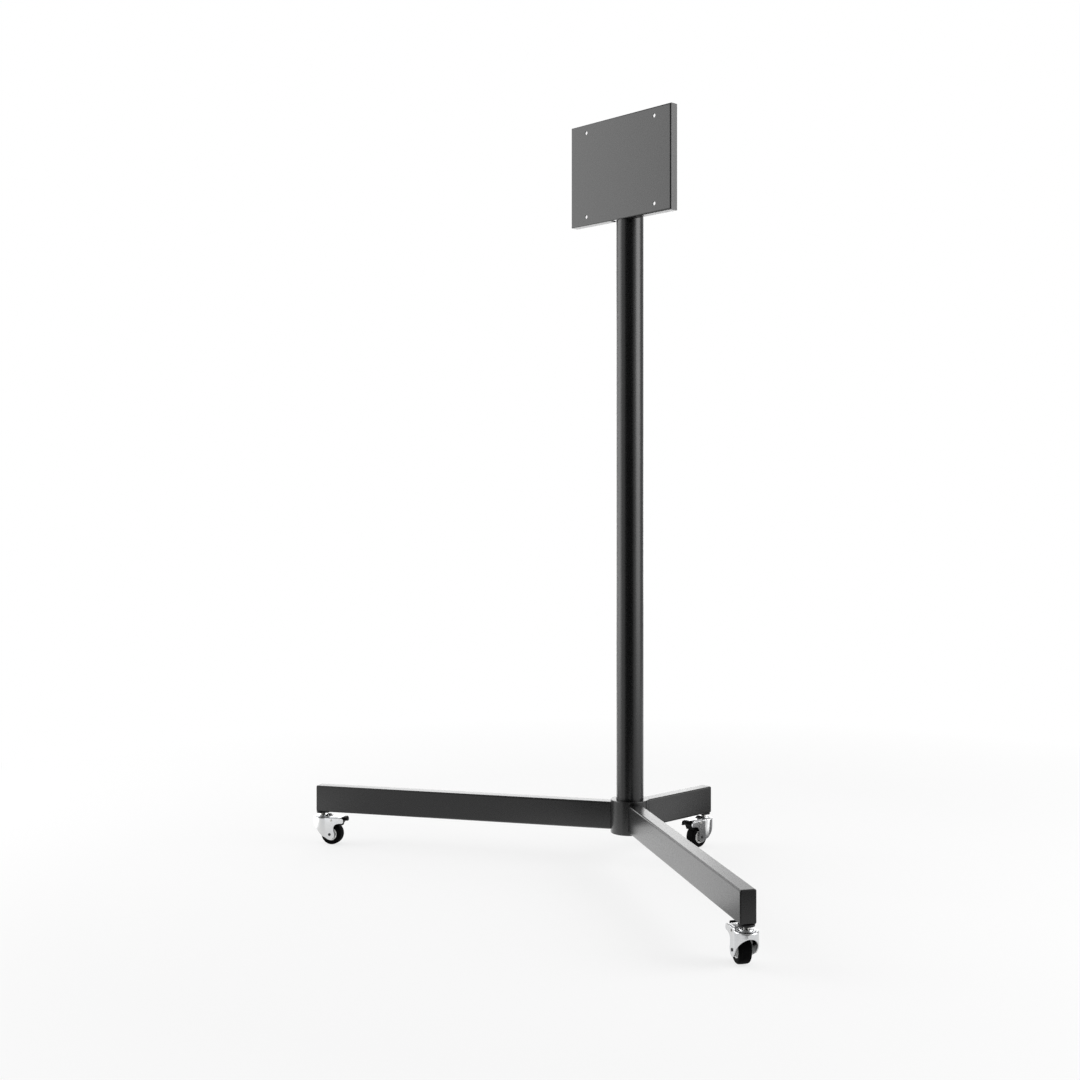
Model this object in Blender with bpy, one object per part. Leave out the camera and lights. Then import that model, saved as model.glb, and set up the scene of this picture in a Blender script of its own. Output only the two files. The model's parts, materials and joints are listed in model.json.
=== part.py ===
# Display floor stand: a sheet-metal mounting plate on a round column, which stands in a welded
# three-legged base on braked swivel castors. Metres, +Z up, the plate faces -Y.
# The footprint's centre is at X = Y = 0, and the tyres stand on Z = 0.

import math

import bmesh
import bpy
from mathutils import Matrix, Vector

# Gaps that neighbouring solids keep
FIT_GAP = 0.0003
TOOL_MARGIN = 0.002

# Facets of round shapes
FINE_SIDES = 40
WHEEL_SIDES = 32
ROUND_SIDES = 20
PIN_SIDES = 12
CORNER_STEPS = 3
EDGE_STEPS = 2
CURVE_STEPS = 5
FOLD_STEPS = 4
SHOULDER_STEPS = 3
BALL_SIDES = 6
SHARP_ANGLE = 32

# Column, and the hub that it stands in
COLUMN_RADIUS = 0.030
COLUMN_WALL = 0.002
COLUMN_TOP_BELOW_PLATE_TOP = 0.024
HUB_RADIUS = 0.0425
HUB_OVERHANG = 0.0065
HUB_EDGE = 0.0015
HUB_RECESS_RADIUS = 0.034
HUB_RECESS_DEPTH = 0.012
HUB_FLOOR = 0.008
FOOT_PLUG_HEIGHT = 0.025
CAP_THICKNESS = 0.003
CAP_EDGE = 0.0012
CAP_SPIGOT = 0.012
BASE_BOLT_RADIUS = 0.006
BASE_BOLT_ACROSS_FLATS = 0.019
BASE_BOLT_HEAD = 0.0075
BASE_WASHER_RADIUS = 0.012
BASE_WASHER_THICKNESS = 0.0025

# Legs, measured from the column's axis to the outer face of their end plates
FRONT_LEG_REACH = 0.748
REAR_LEG_REACH = 0.2545
LEG_SPREAD = math.radians(60)
LEG_HEIGHT = 0.060
LEG_WIDTH = 0.030
LEG_WALL = 0.002
LEG_CORNER = 0.0035
END_PLATE = 0.003
END_PLATE_EDGE = 0.002
SWIVEL_INSET = 0.0105

# Mounting plate, a shallow tray with its flanges turned back, and what holds it on the column
PLATE_WIDTH = 0.306
PLATE_HEIGHT = 0.2254
PLATE_DEPTH = 0.020
PLATE_SHEET = 0.003
PLATE_BEND = 0.0035
PLATE_CENTRE_HEIGHT = 1.5245
DISPLAY_HOLE_RADIUS = 0.00425
DISPLAY_HOLE_SPACING_X = 0.2085
DISPLAY_HOLE_SPACING_Z = 0.1874
COLUMN_NOTCH_GAP = 0.0015
SADDLE_HEIGHT = 0.026
SADDLE_SHEET = 0.003
SADDLE_FROM_EDGE = 0.0527
SADDLE_TAB = 0.0185
STUD_RADIUS = 0.004
STUD_BEYOND_NUT = 0.002
NUT_ACROSS_FLATS = 0.013
NUT_THICKNESS = 0.0065

# Castor wheel
WHEEL_RADIUS = 0.025
TYRE_WIDTH = 0.023
TYRE_THICKNESS = 0.009
TYRE_SHOULDER = 0.004
TYRE_SIDE_SLOPE = 0.0015
RIM_STEP_IN = 0.001
RIM_RING = 0.0028
RIM_WEB = 0.005
RIM_HUB_RADIUS = 0.0085
RIM_HUB_END_GAP = 0.001
RIM_KEY_HEIGHT = 0.0015
RIM_KEY_WIDTH = 0.006
AXLE_RADIUS = 0.0025
AXLE_HEAD_RADIUS = 0.0031
AXLE_HEAD = 0.001
BUSH_WALL = 0.0017

# Castor fork, one pressed sheet: a round housing with a hood in front and two cheeks behind
TRAIL = 0.0242
CROWN_GAP = 0.012
FORK_RADIUS = 0.0217
FORK_HALF_WIDTH = 0.0175
FORK_SHEET = 0.002
FORK_TOP_ROUND = 0.0025
FORK_END_RADIUS = 0.012
HOOD_LIP = 0.008
HOOD_TOE_AHEAD = 0.0178
HOOD_TOE_DROP = 0.003
NOTCH_BACK = 0.0095
NOTCH_RISE = 0.0135
EAR_REACH = 0.0335
EAR_DEPTH = 0.011
EAR_DROP = 0.0015
EAR_CORNER = 0.004

# Castor head bearing and stem
BALL_RADIUS = 0.001
BALL_CIRCLE_RADIUS = 0.0105
RACE_RADIUS = 0.017
RACE_SHEET = 0.001
RACE_LIFT = 0.0006
STEM_RADIUS = 0.004
STEM_COLLAR_RADIUS = 0.0055
STEM_COLLAR = 0.0015
STEM_HEAD = 0.0053
LOCK_DISC_RADIUS = 0.015
LOCK_DISC_THICKNESS = 0.0036
LOCK_DISC_EDGE = 0.0008

# Castor brake: a sheet lever whose tongue locks the swivel, and a moulded pedal with the tyre's shoe
BRAKE_TRAVEL = math.radians(8)
PIVOT_BEHIND_AXLE = 0.004
PIVOT_BELOW_TOP = 0.0065
PIVOT_PIN_RADIUS = 0.002
PIVOT_HEAD_RADIUS = 0.0027
PIVOT_HEAD = 0.0006
LEVER_SHEET = 0.0016
LEVER_SIDE_GAP = 0.001
LEVER_FRONT_GAP = 0.001
LEVER_BEND_BEHIND_PIVOT = 0.012
LEVER_REAR_BEHIND_PIVOT = 0.021
LEVER_REAR_DROP = 0.002
LEVER_CHEEK_RADIUS = 0.005
TONGUE_HALF_WIDTH = 0.006
TONGUE_UNDER_DISC = 0.004
TONGUE_OVER_RACE = 0.00035
PEDAL_SIDE_GAP = 0.0012
PEDAL_REACH = 0.0345
PEDAL_TIP_RISE = 0.0035
PEDAL_TIP_RADIUS = 0.0042
PEDAL_WAIST_BACK = 0.022
PEDAL_WAIST_DROP = 0.001
SHOE_START = math.radians(60)
SHOE_END = math.radians(38)

# Heights that follow from the sizes above, from the floor up
AXLE_HEIGHT = WHEEL_RADIUS
FORK_TOP = 2 * WHEEL_RADIUS + CROWN_GAP + FORK_SHEET
BALL_HEIGHT = FORK_TOP + FIT_GAP + BALL_RADIUS
RACE_TOP = BALL_HEIGHT + BALL_RADIUS + FIT_GAP + RACE_SHEET
PIVOT_U = TRAIL + PIVOT_BEHIND_AXLE
PIVOT_Z = FORK_TOP - PIVOT_BELOW_TOP
TONGUE_TIP_U = LOCK_DISC_RADIUS - TONGUE_UNDER_DISC
TONGUE_TOP = RACE_TOP + TONGUE_OVER_RACE + LEVER_SHEET
TONGUE_TOP_LOCKED = (
    PIVOT_Z
    + (TONGUE_TOP - PIVOT_Z) * math.cos(BRAKE_TRAVEL)
    + (PIVOT_U - TONGUE_TIP_U) * math.sin(BRAKE_TRAVEL)
)
LOCK_DISC_BOTTOM = TONGUE_TOP_LOCKED + FIT_GAP
LEG_BOTTOM = LOCK_DISC_BOTTOM + LOCK_DISC_THICKNESS + FIT_GAP
LEG_TOP = LEG_BOTTOM + LEG_HEIGHT
HUB_BOTTOM = LEG_BOTTOM - HUB_OVERHANG
HUB_TOP = LEG_TOP + HUB_OVERHANG
HUB_FLOOR_BOTTOM = HUB_BOTTOM + HUB_RECESS_DEPTH
HUB_FLOOR_TOP = HUB_FLOOR_BOTTOM + HUB_FLOOR
COLUMN_BOTTOM = HUB_FLOOR_TOP + FIT_GAP
PLATE_TOP = PLATE_CENTRE_HEIGHT + PLATE_HEIGHT / 2
COLUMN_TOP = PLATE_TOP - COLUMN_TOP_BELOW_PLATE_TOP
SADDLE_RISE = PLATE_HEIGHT / 2 - SADDLE_FROM_EDGE

# Places in plan, from the column's axis
FRONT_SWIVEL_REACH = FRONT_LEG_REACH - SWIVEL_INSET
REAR_SWIVEL_REACH = REAR_LEG_REACH - SWIVEL_INSET
PLATE_BACK_Y = -(COLUMN_RADIUS + FIT_GAP)
PLATE_FRONT_Y = PLATE_BACK_Y - PLATE_SHEET
SADDLE_INNER = COLUMN_RADIUS + FIT_GAP
SADDLE_OUTER = SADDLE_INNER + SADDLE_SHEET
SADDLE_TAB_BACK = PLATE_BACK_Y + FIT_GAP + SADDLE_SHEET
STUD_X = SADDLE_OUTER + SADDLE_TAB / 2
FRONT_EXTENT = FRONT_SWIVEL_REACH * math.cos(LEG_SPREAD)
COLUMN_Y = (FRONT_EXTENT - REAR_SWIVEL_REACH) / 2

# Each leg's name, the way it points in plan, and its reach
LEGS = {
    "left": (-math.pi / 2 - LEG_SPREAD, FRONT_LEG_REACH),
    "right": (-math.pi / 2 + LEG_SPREAD, FRONT_LEG_REACH),
    "rear": (math.pi / 2, REAR_LEG_REACH),
}


def clear_scene():
    for old in list(bpy.data.objects):
        bpy.data.objects.remove(old, do_unlink=True)


def make_material(name, colour, roughness, metallic=0.0):
    material = bpy.data.materials.new(name)
    material.use_nodes = True
    shader = material.node_tree.nodes["Principled BSDF"]
    shader.inputs["Base Color"].default_value = (*colour, 1.0)
    shader.inputs["Roughness"].default_value = roughness
    shader.inputs["Metallic"].default_value = metallic
    material.diffuse_color = (*colour, 1.0)
    return material


def make_materials():
    return {
        "powder_coat": make_material("anthracite_powder_coat", (0.055, 0.057, 0.060), 0.42),
        "zinc": make_material("bright_zinc_plate", (0.72, 0.73, 0.75), 0.28, 1.0),
        "fastener": make_material("zinc_fastener_steel", (0.60, 0.60, 0.58), 0.35, 1.0),
        "black_steel": make_material("black_oxide_steel", (0.035, 0.035, 0.037), 0.40, 0.6),
        "rubber": make_material("black_tyre_rubber", (0.018, 0.018, 0.019), 0.62),
        "white_plastic": make_material("white_rim_plastic", (0.78, 0.78, 0.77), 0.40),
        "black_plastic": make_material("black_moulded_plastic", (0.020, 0.020, 0.021), 0.45),
    }


# Outlines, as lists of points in a plane


def arc(centre, radius, start, end, steps):
    points = []
    for i in range(steps + 1):
        angle = start + (end - start) * i / steps
        points.append((centre[0] + radius * math.cos(angle), centre[1] + radius * math.sin(angle)))
    return points


def curve(start, control, end, steps):
    points = []
    for i in range(steps + 1):
        t = i / steps
        points.append(
            tuple(
                (1 - t) ** 2 * a + 2 * t * (1 - t) * b + t**2 * c
                for a, b, c in zip(start, control, end)
            )
        )
    return points


def tangent_angle(point, centre, radius):
    """Where the line from a point touches a circle that is then followed anticlockwise."""
    x = point[0] - centre[0]
    y = point[1] - centre[1]
    return math.atan2(y, x) + math.acos(radius / math.hypot(x, y))


def circle(centre, radius, sides):
    return arc(centre, radius, 0.0, math.tau, sides)[:-1]


def hexagon(centre, across_flats):
    return circle(centre, across_flats / 2 / math.cos(math.pi / 6), 6)


def rounded_rectangle(low, high, radius, steps):
    corners = (
        ((high[0] - radius, high[1] - radius), 0.0),
        ((low[0] + radius, high[1] - radius), math.pi / 2),
        ((low[0] + radius, low[1] + radius), math.pi),
        ((high[0] - radius, low[1] + radius), 3 * math.pi / 2),
    )
    points = []
    for centre, start in corners:
        points += arc(centre, radius, start, start + math.pi / 2, steps)
    return points


def turned_back(point, pivot, angle):
    x = point[0] - pivot[0]
    z = point[1] - pivot[1]
    return (
        pivot[0] + x * math.cos(angle) - z * math.sin(angle),
        pivot[1] + x * math.sin(angle) + z * math.cos(angle),
    )


# Solids, as meshes

PLANES = {
    "XY": Matrix.Identity(4),
    "XZ": Matrix(((1, 0, 0, 0), (0, 0, 1, 0), (0, 1, 0, 0), (0, 0, 0, 1))),
    "YZ": Matrix(((0, 0, 1, 0), (1, 0, 0, 0), (0, 1, 0, 0), (0, 0, 0, 1))),
}


def finished(shape, name):
    bmesh.ops.recalc_face_normals(shape, faces=shape.faces)
    mesh = bpy.data.meshes.new(name)
    shape.to_mesh(mesh)
    shape.free()
    return mesh


def prism(outline, low, high, plane="XY"):
    """The outline, drawn in the plane, pushed from low to high along the third axis."""
    shape = bmesh.new()
    base = shape.faces.new([shape.verts.new((x, y, low)) for x, y in outline])
    pushed = bmesh.ops.extrude_face_region(shape, geom=[base])
    moving = [item for item in pushed["geom"] if isinstance(item, bmesh.types.BMVert)]
    bmesh.ops.translate(shape, vec=(0, 0, high - low), verts=moving)
    bmesh.ops.transform(shape, matrix=PLANES[plane], verts=shape.verts)
    return finished(shape, "prism")


def box(low, high):
    corners = ((low[0], low[1]), (high[0], low[1]), (high[0], high[1]), (low[0], high[1]))
    return prism(corners, low[2], high[2])


def turned(profile, sides, axis="Z", first_angle=0.0, closed=True):
    """The profile's (radius, height) points spun once round the axis. An open profile ends on it."""
    shape = bmesh.new()
    points = [shape.verts.new((radius, 0, height)) for radius, height in profile]
    pairs = list(zip(points, points[1:]))
    if closed:
        pairs.append((points[-1], points[0]))
    edges = [shape.edges.new(pair) for pair in pairs]
    bmesh.ops.rotate(shape, matrix=Matrix.Rotation(first_angle, 3, "Z"), verts=shape.verts)
    bmesh.ops.spin(
        shape,
        geom=points + edges,
        axis=(0, 0, 1),
        cent=(0, 0, 0),
        angle=math.tau,
        steps=sides,
        use_merge=True,
    )
    bmesh.ops.remove_doubles(shape, verts=shape.verts, dist=1e-6)
    if axis == "Y":
        bmesh.ops.rotate(shape, matrix=Matrix.Rotation(-math.pi / 2, 3, "X"), verts=shape.verts)
    return finished(shape, "turned")


def moved(mesh, x=0.0, y=0.0, z=0.0):
    mesh.transform(Matrix.Translation((x, y, z)))
    return mesh


def combined(base, tool, operation="DIFFERENCE"):
    """One mesh from two. Both are used up."""
    base_object = bpy.data.objects.new("base", base)
    tool_object = bpy.data.objects.new("tool", tool)
    for item in (base_object, tool_object):
        bpy.context.scene.collection.objects.link(item)
    step = base_object.modifiers.new("combine", "BOOLEAN")
    step.operation = operation
    step.solver = "EXACT"
    step.object = tool_object
    graph = bpy.context.evaluated_depsgraph_get()
    result = bpy.data.meshes.new_from_object(base_object.evaluated_get(graph))
    for item in (base_object, tool_object):
        bpy.data.objects.remove(item, do_unlink=True)
    return result


def cut(base, *tools):
    for tool in tools:
        base = combined(base, tool)
    return base


def joined(base, *pieces):
    for piece in pieces:
        base = combined(base, piece, "UNION")
    return base


def rod(radius, low, high, sides, centre=(0.0, 0.0), plane="XY"):
    return prism(circle(centre, radius, sides), low, high, plane)


def empty(name, parent, location, turn=0.0):
    item = bpy.data.objects.new(name, None)
    bpy.context.scene.collection.objects.link(item)
    item.parent = parent
    item.location = location
    item.rotation_euler = (0, 0, turn)
    return item


def place(name, mesh, material, parent):
    mesh.name = name
    mesh.materials.clear()
    mesh.materials.append(material)
    mesh.shade_smooth()
    mesh.set_sharp_from_angle(angle=math.radians(SHARP_ANGLE))
    item = bpy.data.objects.new(name, mesh)
    bpy.context.scene.collection.objects.link(item)
    item.parent = parent
    return item


# Base and column


def hub_mesh():
    bore = COLUMN_RADIUS + FIT_GAP
    bolt_hole = BASE_BOLT_RADIUS + FIT_GAP
    profile = [
        (bolt_hole, HUB_FLOOR_BOTTOM),
        (HUB_RECESS_RADIUS, HUB_FLOOR_BOTTOM),
        (HUB_RECESS_RADIUS, HUB_BOTTOM),
        (HUB_RADIUS - HUB_EDGE, HUB_BOTTOM),
        (HUB_RADIUS, HUB_BOTTOM + HUB_EDGE),
    ]
    edge_centre = (HUB_RADIUS - HUB_EDGE, HUB_TOP - HUB_EDGE)
    profile += arc(edge_centre, HUB_EDGE, 0, math.pi / 2, EDGE_STEPS)
    profile += [(bore, HUB_TOP), (bore, HUB_FLOOR_TOP), (bolt_hole, HUB_FLOOR_TOP)]
    return turned(profile, FINE_SIDES)


def leg_outline(inset=0.0):
    half = LEG_WIDTH / 2 - inset
    return rounded_rectangle(
        (-half, LEG_BOTTOM + inset), (half, LEG_TOP - inset), LEG_CORNER - inset, CORNER_STEPS
    )


def leg_mesh(reach):
    """A rectangular tube along +X, coped to the hub and drilled for the castor's stem."""
    start = COLUMN_RADIUS
    end = reach - END_PLATE - FIT_GAP
    tube = prism(leg_outline(), start, end, "YZ")
    hollow = prism(leg_outline(LEG_WALL), start - TOOL_MARGIN, end + TOOL_MARGIN, "YZ")
    cope = rod(
        HUB_RADIUS + FIT_GAP, LEG_BOTTOM - TOOL_MARGIN, LEG_TOP + TOOL_MARGIN, FINE_SIDES
    )
    stem_hole = rod(
        STEM_RADIUS + FIT_GAP,
        LEG_BOTTOM - TOOL_MARGIN,
        LEG_BOTTOM + LEG_WALL + TOOL_MARGIN,
        PIN_SIDES,
        (reach - SWIVEL_INSET, 0),
    )
    return cut(tube, hollow, cope, stem_hole)


def end_plate_mesh(reach):
    """The plate that closes the leg's open end, its outer edge rounded over."""
    shape = bmesh.new()
    shape.from_mesh(prism(leg_outline(), reach - END_PLATE, reach, "YZ"))
    outer_edges = [
        edge for edge in shape.edges if all(vert.co.x > reach - END_PLATE / 2 for vert in edge.verts)
    ]
    bmesh.ops.bevel(
        shape,
        geom=outer_edges,
        offset=END_PLATE_EDGE,
        segments=EDGE_STEPS,
        profile=0.5,
        affect="EDGES",
    )
    return finished(shape, "end_plate")


def column_mesh():
    inner = COLUMN_RADIUS - COLUMN_WALL
    profile = (
        (inner, COLUMN_BOTTOM),
        (COLUMN_RADIUS, COLUMN_BOTTOM),
        (COLUMN_RADIUS, COLUMN_TOP),
        (inner, COLUMN_TOP),
    )
    return turned(profile, FINE_SIDES)


def column_cap_mesh():
    """A push-in plug with a rounded lid."""
    spigot = COLUMN_RADIUS - COLUMN_WALL - FIT_GAP
    lid_bottom = COLUMN_TOP + FIT_GAP
    lid_top = lid_bottom + CAP_THICKNESS
    profile = [
        (0, lid_bottom - CAP_SPIGOT),
        (spigot, lid_bottom - CAP_SPIGOT),
        (spigot, lid_bottom),
        (COLUMN_RADIUS, lid_bottom),
    ]
    profile += arc(
        (COLUMN_RADIUS - CAP_EDGE, lid_top - CAP_EDGE), CAP_EDGE, 0, math.pi / 2, EDGE_STEPS
    )
    profile += [(0, lid_top)]
    return turned(profile, FINE_SIDES, closed=False)


def foot_plug_mesh():
    """The threaded plug welded into the column's foot."""
    outer = COLUMN_RADIUS - COLUMN_WALL - FIT_GAP
    bore = BASE_BOLT_RADIUS + FIT_GAP
    profile = (
        (bore, COLUMN_BOTTOM),
        (outer, COLUMN_BOTTOM),
        (outer, COLUMN_BOTTOM + FOOT_PLUG_HEIGHT),
        (bore, COLUMN_BOTTOM + FOOT_PLUG_HEIGHT),
    )
    return turned(profile, FINE_SIDES)


def base_washer_mesh():
    top = HUB_FLOOR_BOTTOM - FIT_GAP
    bore = BASE_BOLT_RADIUS + FIT_GAP
    profile = (
        (bore, top - BASE_WASHER_THICKNESS),
        (BASE_WASHER_RADIUS, top - BASE_WASHER_THICKNESS),
        (BASE_WASHER_RADIUS, top),
        (bore, top),
    )
    return turned(profile, ROUND_SIDES)


def base_bolt_mesh():
    head_top = HUB_FLOOR_BOTTOM - BASE_WASHER_THICKNESS - 2 * FIT_GAP
    head = prism(hexagon((0, 0), BASE_BOLT_ACROSS_FLATS), head_top - BASE_BOLT_HEAD, head_top)
    shank_start = head_top - BASE_BOLT_HEAD / 2
    shank_end = COLUMN_BOTTOM + FOOT_PLUG_HEIGHT - FIT_GAP
    return joined(head, rod(BASE_BOLT_RADIUS, shank_start, shank_end, PIN_SIDES))


def build_base(parent, materials):
    place("base_hub", hub_mesh(), materials["powder_coat"], parent)
    for side, (direction, reach) in LEGS.items():
        leg_axis = empty(side + "_leg_axis", parent, (0, 0, 0), direction)
        place(side + "_leg", leg_mesh(reach), materials["powder_coat"], leg_axis)
        place(side + "_end_plate", end_plate_mesh(reach), materials["powder_coat"], leg_axis)
    place("column", column_mesh(), materials["powder_coat"], parent)
    place("column_cap", column_cap_mesh(), materials["black_plastic"], parent)
    place("column_foot_plug", foot_plug_mesh(), materials["fastener"], parent)
    place("base_washer", base_washer_mesh(), materials["fastener"], parent)
    place("base_bolt", base_bolt_mesh(), materials["fastener"], parent)


# Mounting plate


def tray_block(inset, front, back, edge):
    """A block as wide as the plate less the inset, with the edges of its front face rounded."""
    half_width = PLATE_WIDTH / 2 - inset
    half_height = PLATE_HEIGHT / 2 - inset
    shape = bmesh.new()
    shape.from_mesh(
        box(
            (-half_width, front, PLATE_CENTRE_HEIGHT - half_height),
            (half_width, back, PLATE_CENTRE_HEIGHT + half_height),
        )
    )
    middle = (front + back) / 2
    front_edges = [
        item for item in shape.edges if all(vert.co.y < middle for vert in item.verts)
    ]
    bmesh.ops.bevel(
        shape, geom=front_edges, offset=edge, segments=FOLD_STEPS, profile=0.5, affect="EDGES"
    )
    return finished(shape, "tray_block")


def mount_plate_mesh():
    """The folded tray: drilled for the display, notched for the column, with the saddles' studs."""
    back = PLATE_FRONT_Y + PLATE_DEPTH
    tray = tray_block(0.0, PLATE_FRONT_Y, back, PLATE_BEND)
    hollow = tray_block(
        PLATE_SHEET, PLATE_BACK_Y, back + TOOL_MARGIN, PLATE_BEND - PLATE_SHEET
    )
    notch_half = COLUMN_RADIUS + COLUMN_NOTCH_GAP
    bottom = PLATE_CENTRE_HEIGHT - PLATE_HEIGHT / 2
    notch = box(
        (-notch_half, PLATE_BACK_Y - FIT_GAP, bottom - TOOL_MARGIN),
        (notch_half, back + TOOL_MARGIN, bottom + PLATE_SHEET + TOOL_MARGIN),
    )
    tray = cut(tray, hollow, notch)
    for x in (-DISPLAY_HOLE_SPACING_X / 2, DISPLAY_HOLE_SPACING_X / 2):
        for z in (-DISPLAY_HOLE_SPACING_Z / 2, DISPLAY_HOLE_SPACING_Z / 2):
            tray = cut(
                tray,
                rod(
                    DISPLAY_HOLE_RADIUS,
                    PLATE_FRONT_Y - TOOL_MARGIN,
                    PLATE_BACK_Y + TOOL_MARGIN,
                    PIN_SIDES,
                    (x, PLATE_CENTRE_HEIGHT + z),
                    "XZ",
                ),
            )
    stud_end = SADDLE_TAB_BACK + FIT_GAP + NUT_THICKNESS + STUD_BEYOND_NUT
    for x, z in stud_places():
        stud = rod(
            STUD_RADIUS, PLATE_BACK_Y - PLATE_SHEET / 2, stud_end, PIN_SIDES, (x, z), "XZ"
        )
        tray = joined(tray, stud)
    return tray


def stud_places():
    return [
        (x, PLATE_CENTRE_HEIGHT + z)
        for z in (SADDLE_RISE, -SADDLE_RISE)
        for x in (-STUD_X, STUD_X)
    ]


def saddle_mesh(height):
    """A strap bent round the back of the column, with a drilled tab on each side."""
    tab_front = PLATE_BACK_Y + FIT_GAP
    tab_end = SADDLE_OUTER + SADDLE_TAB
    outline = [
        (tab_end, tab_front),
        (tab_end, SADDLE_TAB_BACK),
        (SADDLE_OUTER, SADDLE_TAB_BACK),
    ]
    outline += arc((0, 0), SADDLE_OUTER, 0, math.pi, FINE_SIDES // 2)
    outline += [
        (-SADDLE_OUTER, SADDLE_TAB_BACK),
        (-tab_end, SADDLE_TAB_BACK),
        (-tab_end, tab_front),
        (-SADDLE_INNER, tab_front),
    ]
    outline += arc((0, 0), SADDLE_INNER, math.pi, 0, FINE_SIDES // 2)
    outline += [(SADDLE_INNER, tab_front)]
    strap = prism(outline, height - SADDLE_HEIGHT / 2, height + SADDLE_HEIGHT / 2)
    for x in (-STUD_X, STUD_X):
        hole = rod(
            STUD_RADIUS + FIT_GAP,
            tab_front - TOOL_MARGIN,
            SADDLE_TAB_BACK + TOOL_MARGIN,
            PIN_SIDES,
            (x, height),
            "XZ",
        )
        strap = cut(strap, hole)
    return strap


def saddle_nut_mesh(x, z):
    front = SADDLE_TAB_BACK + FIT_GAP
    nut = prism(hexagon((x, z), NUT_ACROSS_FLATS), front, front + NUT_THICKNESS, "XZ")
    bore = rod(
        STUD_RADIUS + FIT_GAP,
        front - TOOL_MARGIN,
        front + NUT_THICKNESS + TOOL_MARGIN,
        PIN_SIDES,
        (x, z),
        "XZ",
    )
    return cut(nut, bore)


def build_head(parent, materials):
    place("mount_plate", mount_plate_mesh(), materials["powder_coat"], parent)
    heights = {
        "upper": PLATE_CENTRE_HEIGHT + SADDLE_RISE,
        "lower": PLATE_CENTRE_HEIGHT - SADDLE_RISE,
    }
    for level, height in heights.items():
        place(level + "_saddle", saddle_mesh(height), materials["powder_coat"], parent)
    names = ("upper_left", "upper_right", "lower_left", "lower_right")
    for name, (x, z) in zip(names, stud_places()):
        place(name + "_saddle_nut", saddle_nut_mesh(x, z), materials["fastener"], parent)


# Castor, drawn with the swivel axis on Z and the wheel trailing towards +X


def fork_plan(inset, rear):
    """The housing's circle, running into the two cheeks at the fold lines."""
    radius = FORK_RADIUS - inset
    half = FORK_HALF_WIDTH - inset
    fold = math.asin(half / radius)
    return [(rear, -half)] + arc((0, 0), radius, -fold, fold - math.tau, FINE_SIDES // 2) + [
        (rear, half)
    ]


def fork_side():
    """What the fork covers, seen from the side."""
    axle = (TRAIL, AXLE_HEIGHT)
    front = -FORK_RADIUS - TOOL_MARGIN
    above = FORK_TOP + TOOL_MARGIN
    ear_end = TRAIL + EAR_REACH
    ear_top = FORK_TOP - EAR_DROP
    ear_bottom = ear_top - EAR_DEPTH
    notch = (TRAIL + NOTCH_BACK, AXLE_HEIGHT + NOTCH_RISE)
    lip = FORK_TOP - HOOD_LIP
    toe = (TRAIL - HOOD_TOE_AHEAD, AXLE_HEIGHT - HOOD_TOE_DROP)
    outline = [(front, above), (front, lip), (-FORK_RADIUS, lip), toe]
    start = tangent_angle(toe, axle, FORK_END_RADIUS)
    outline += arc(axle, FORK_END_RADIUS, start, math.pi / 6, 2 * CORNER_STEPS)
    outline += curve(
        notch, (notch[0], ear_bottom), (ear_end - EAR_CORNER, ear_bottom), CURVE_STEPS
    )
    outline += arc(
        (ear_end - EAR_CORNER, ear_bottom + EAR_CORNER), EAR_CORNER, -math.pi / 2, 0, CORNER_STEPS
    )[1:]
    outline += arc(
        (ear_end - EAR_CORNER, ear_top - EAR_CORNER), EAR_CORNER, 0, math.pi / 2, CORNER_STEPS
    )
    outline += [(FORK_RADIUS, ear_top), (FORK_RADIUS, above)]
    return outline


def fork_mesh():
    rear = TRAIL + EAR_REACH + TOOL_MARGIN
    shape = bmesh.new()
    shape.from_mesh(prism(fork_plan(0.0, rear), 0.0, FORK_TOP))
    top_edges = [
        edge for edge in shape.edges if all(vert.co.z > FORK_TOP / 2 for vert in edge.verts)
    ]
    bmesh.ops.bevel(
        shape,
        geom=top_edges,
        offset=FORK_TOP_ROUND,
        segments=CORNER_STEPS,
        profile=0.5,
        affect="EDGES",
    )
    fork = finished(shape, "fork")
    inner_half = FORK_HALF_WIDTH - FORK_SHEET
    hollow = prism(
        fork_plan(FORK_SHEET, rear + TOOL_MARGIN), -TOOL_MARGIN, FORK_TOP - FORK_SHEET
    )
    slot = box(
        (FORK_RADIUS, -inner_half, AXLE_HEIGHT),
        (rear + TOOL_MARGIN, inner_half, FORK_TOP + TOOL_MARGIN),
    )
    side_reach = FORK_RADIUS + TOOL_MARGIN
    side = prism(fork_side(), -side_reach, side_reach, "XZ")
    stem_hole = rod(
        STEM_RADIUS + FIT_GAP, FORK_TOP - 2 * FORK_SHEET, FORK_TOP + TOOL_MARGIN, PIN_SIDES
    )
    axle_hole = rod(
        AXLE_RADIUS + FIT_GAP, -side_reach, side_reach, PIN_SIDES, (TRAIL, AXLE_HEIGHT), "XZ"
    )
    pin_hole = rod(
        PIVOT_PIN_RADIUS + FIT_GAP, -side_reach, side_reach, PIN_SIDES, (PIVOT_U, PIVOT_Z), "XZ"
    )
    fork = cut(fork, hollow, slot)
    fork = combined(fork, side, "INTERSECT")
    return cut(fork, stem_hole, axle_hole, pin_hole)


def headed_pin(radius, head_radius, head, half_span):
    """A riveted pin along Y, its domed heads just outside the half span."""
    start = half_span + FIT_GAP
    half = [
        (radius, start),
        (head_radius, start),
        (head_radius, start + head / 2),
        (radius, start + head),
        (0, start + head),
    ]
    return turned([(r, -y) for r, y in reversed(half)] + half, PIN_SIDES, "Y", closed=False)


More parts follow.
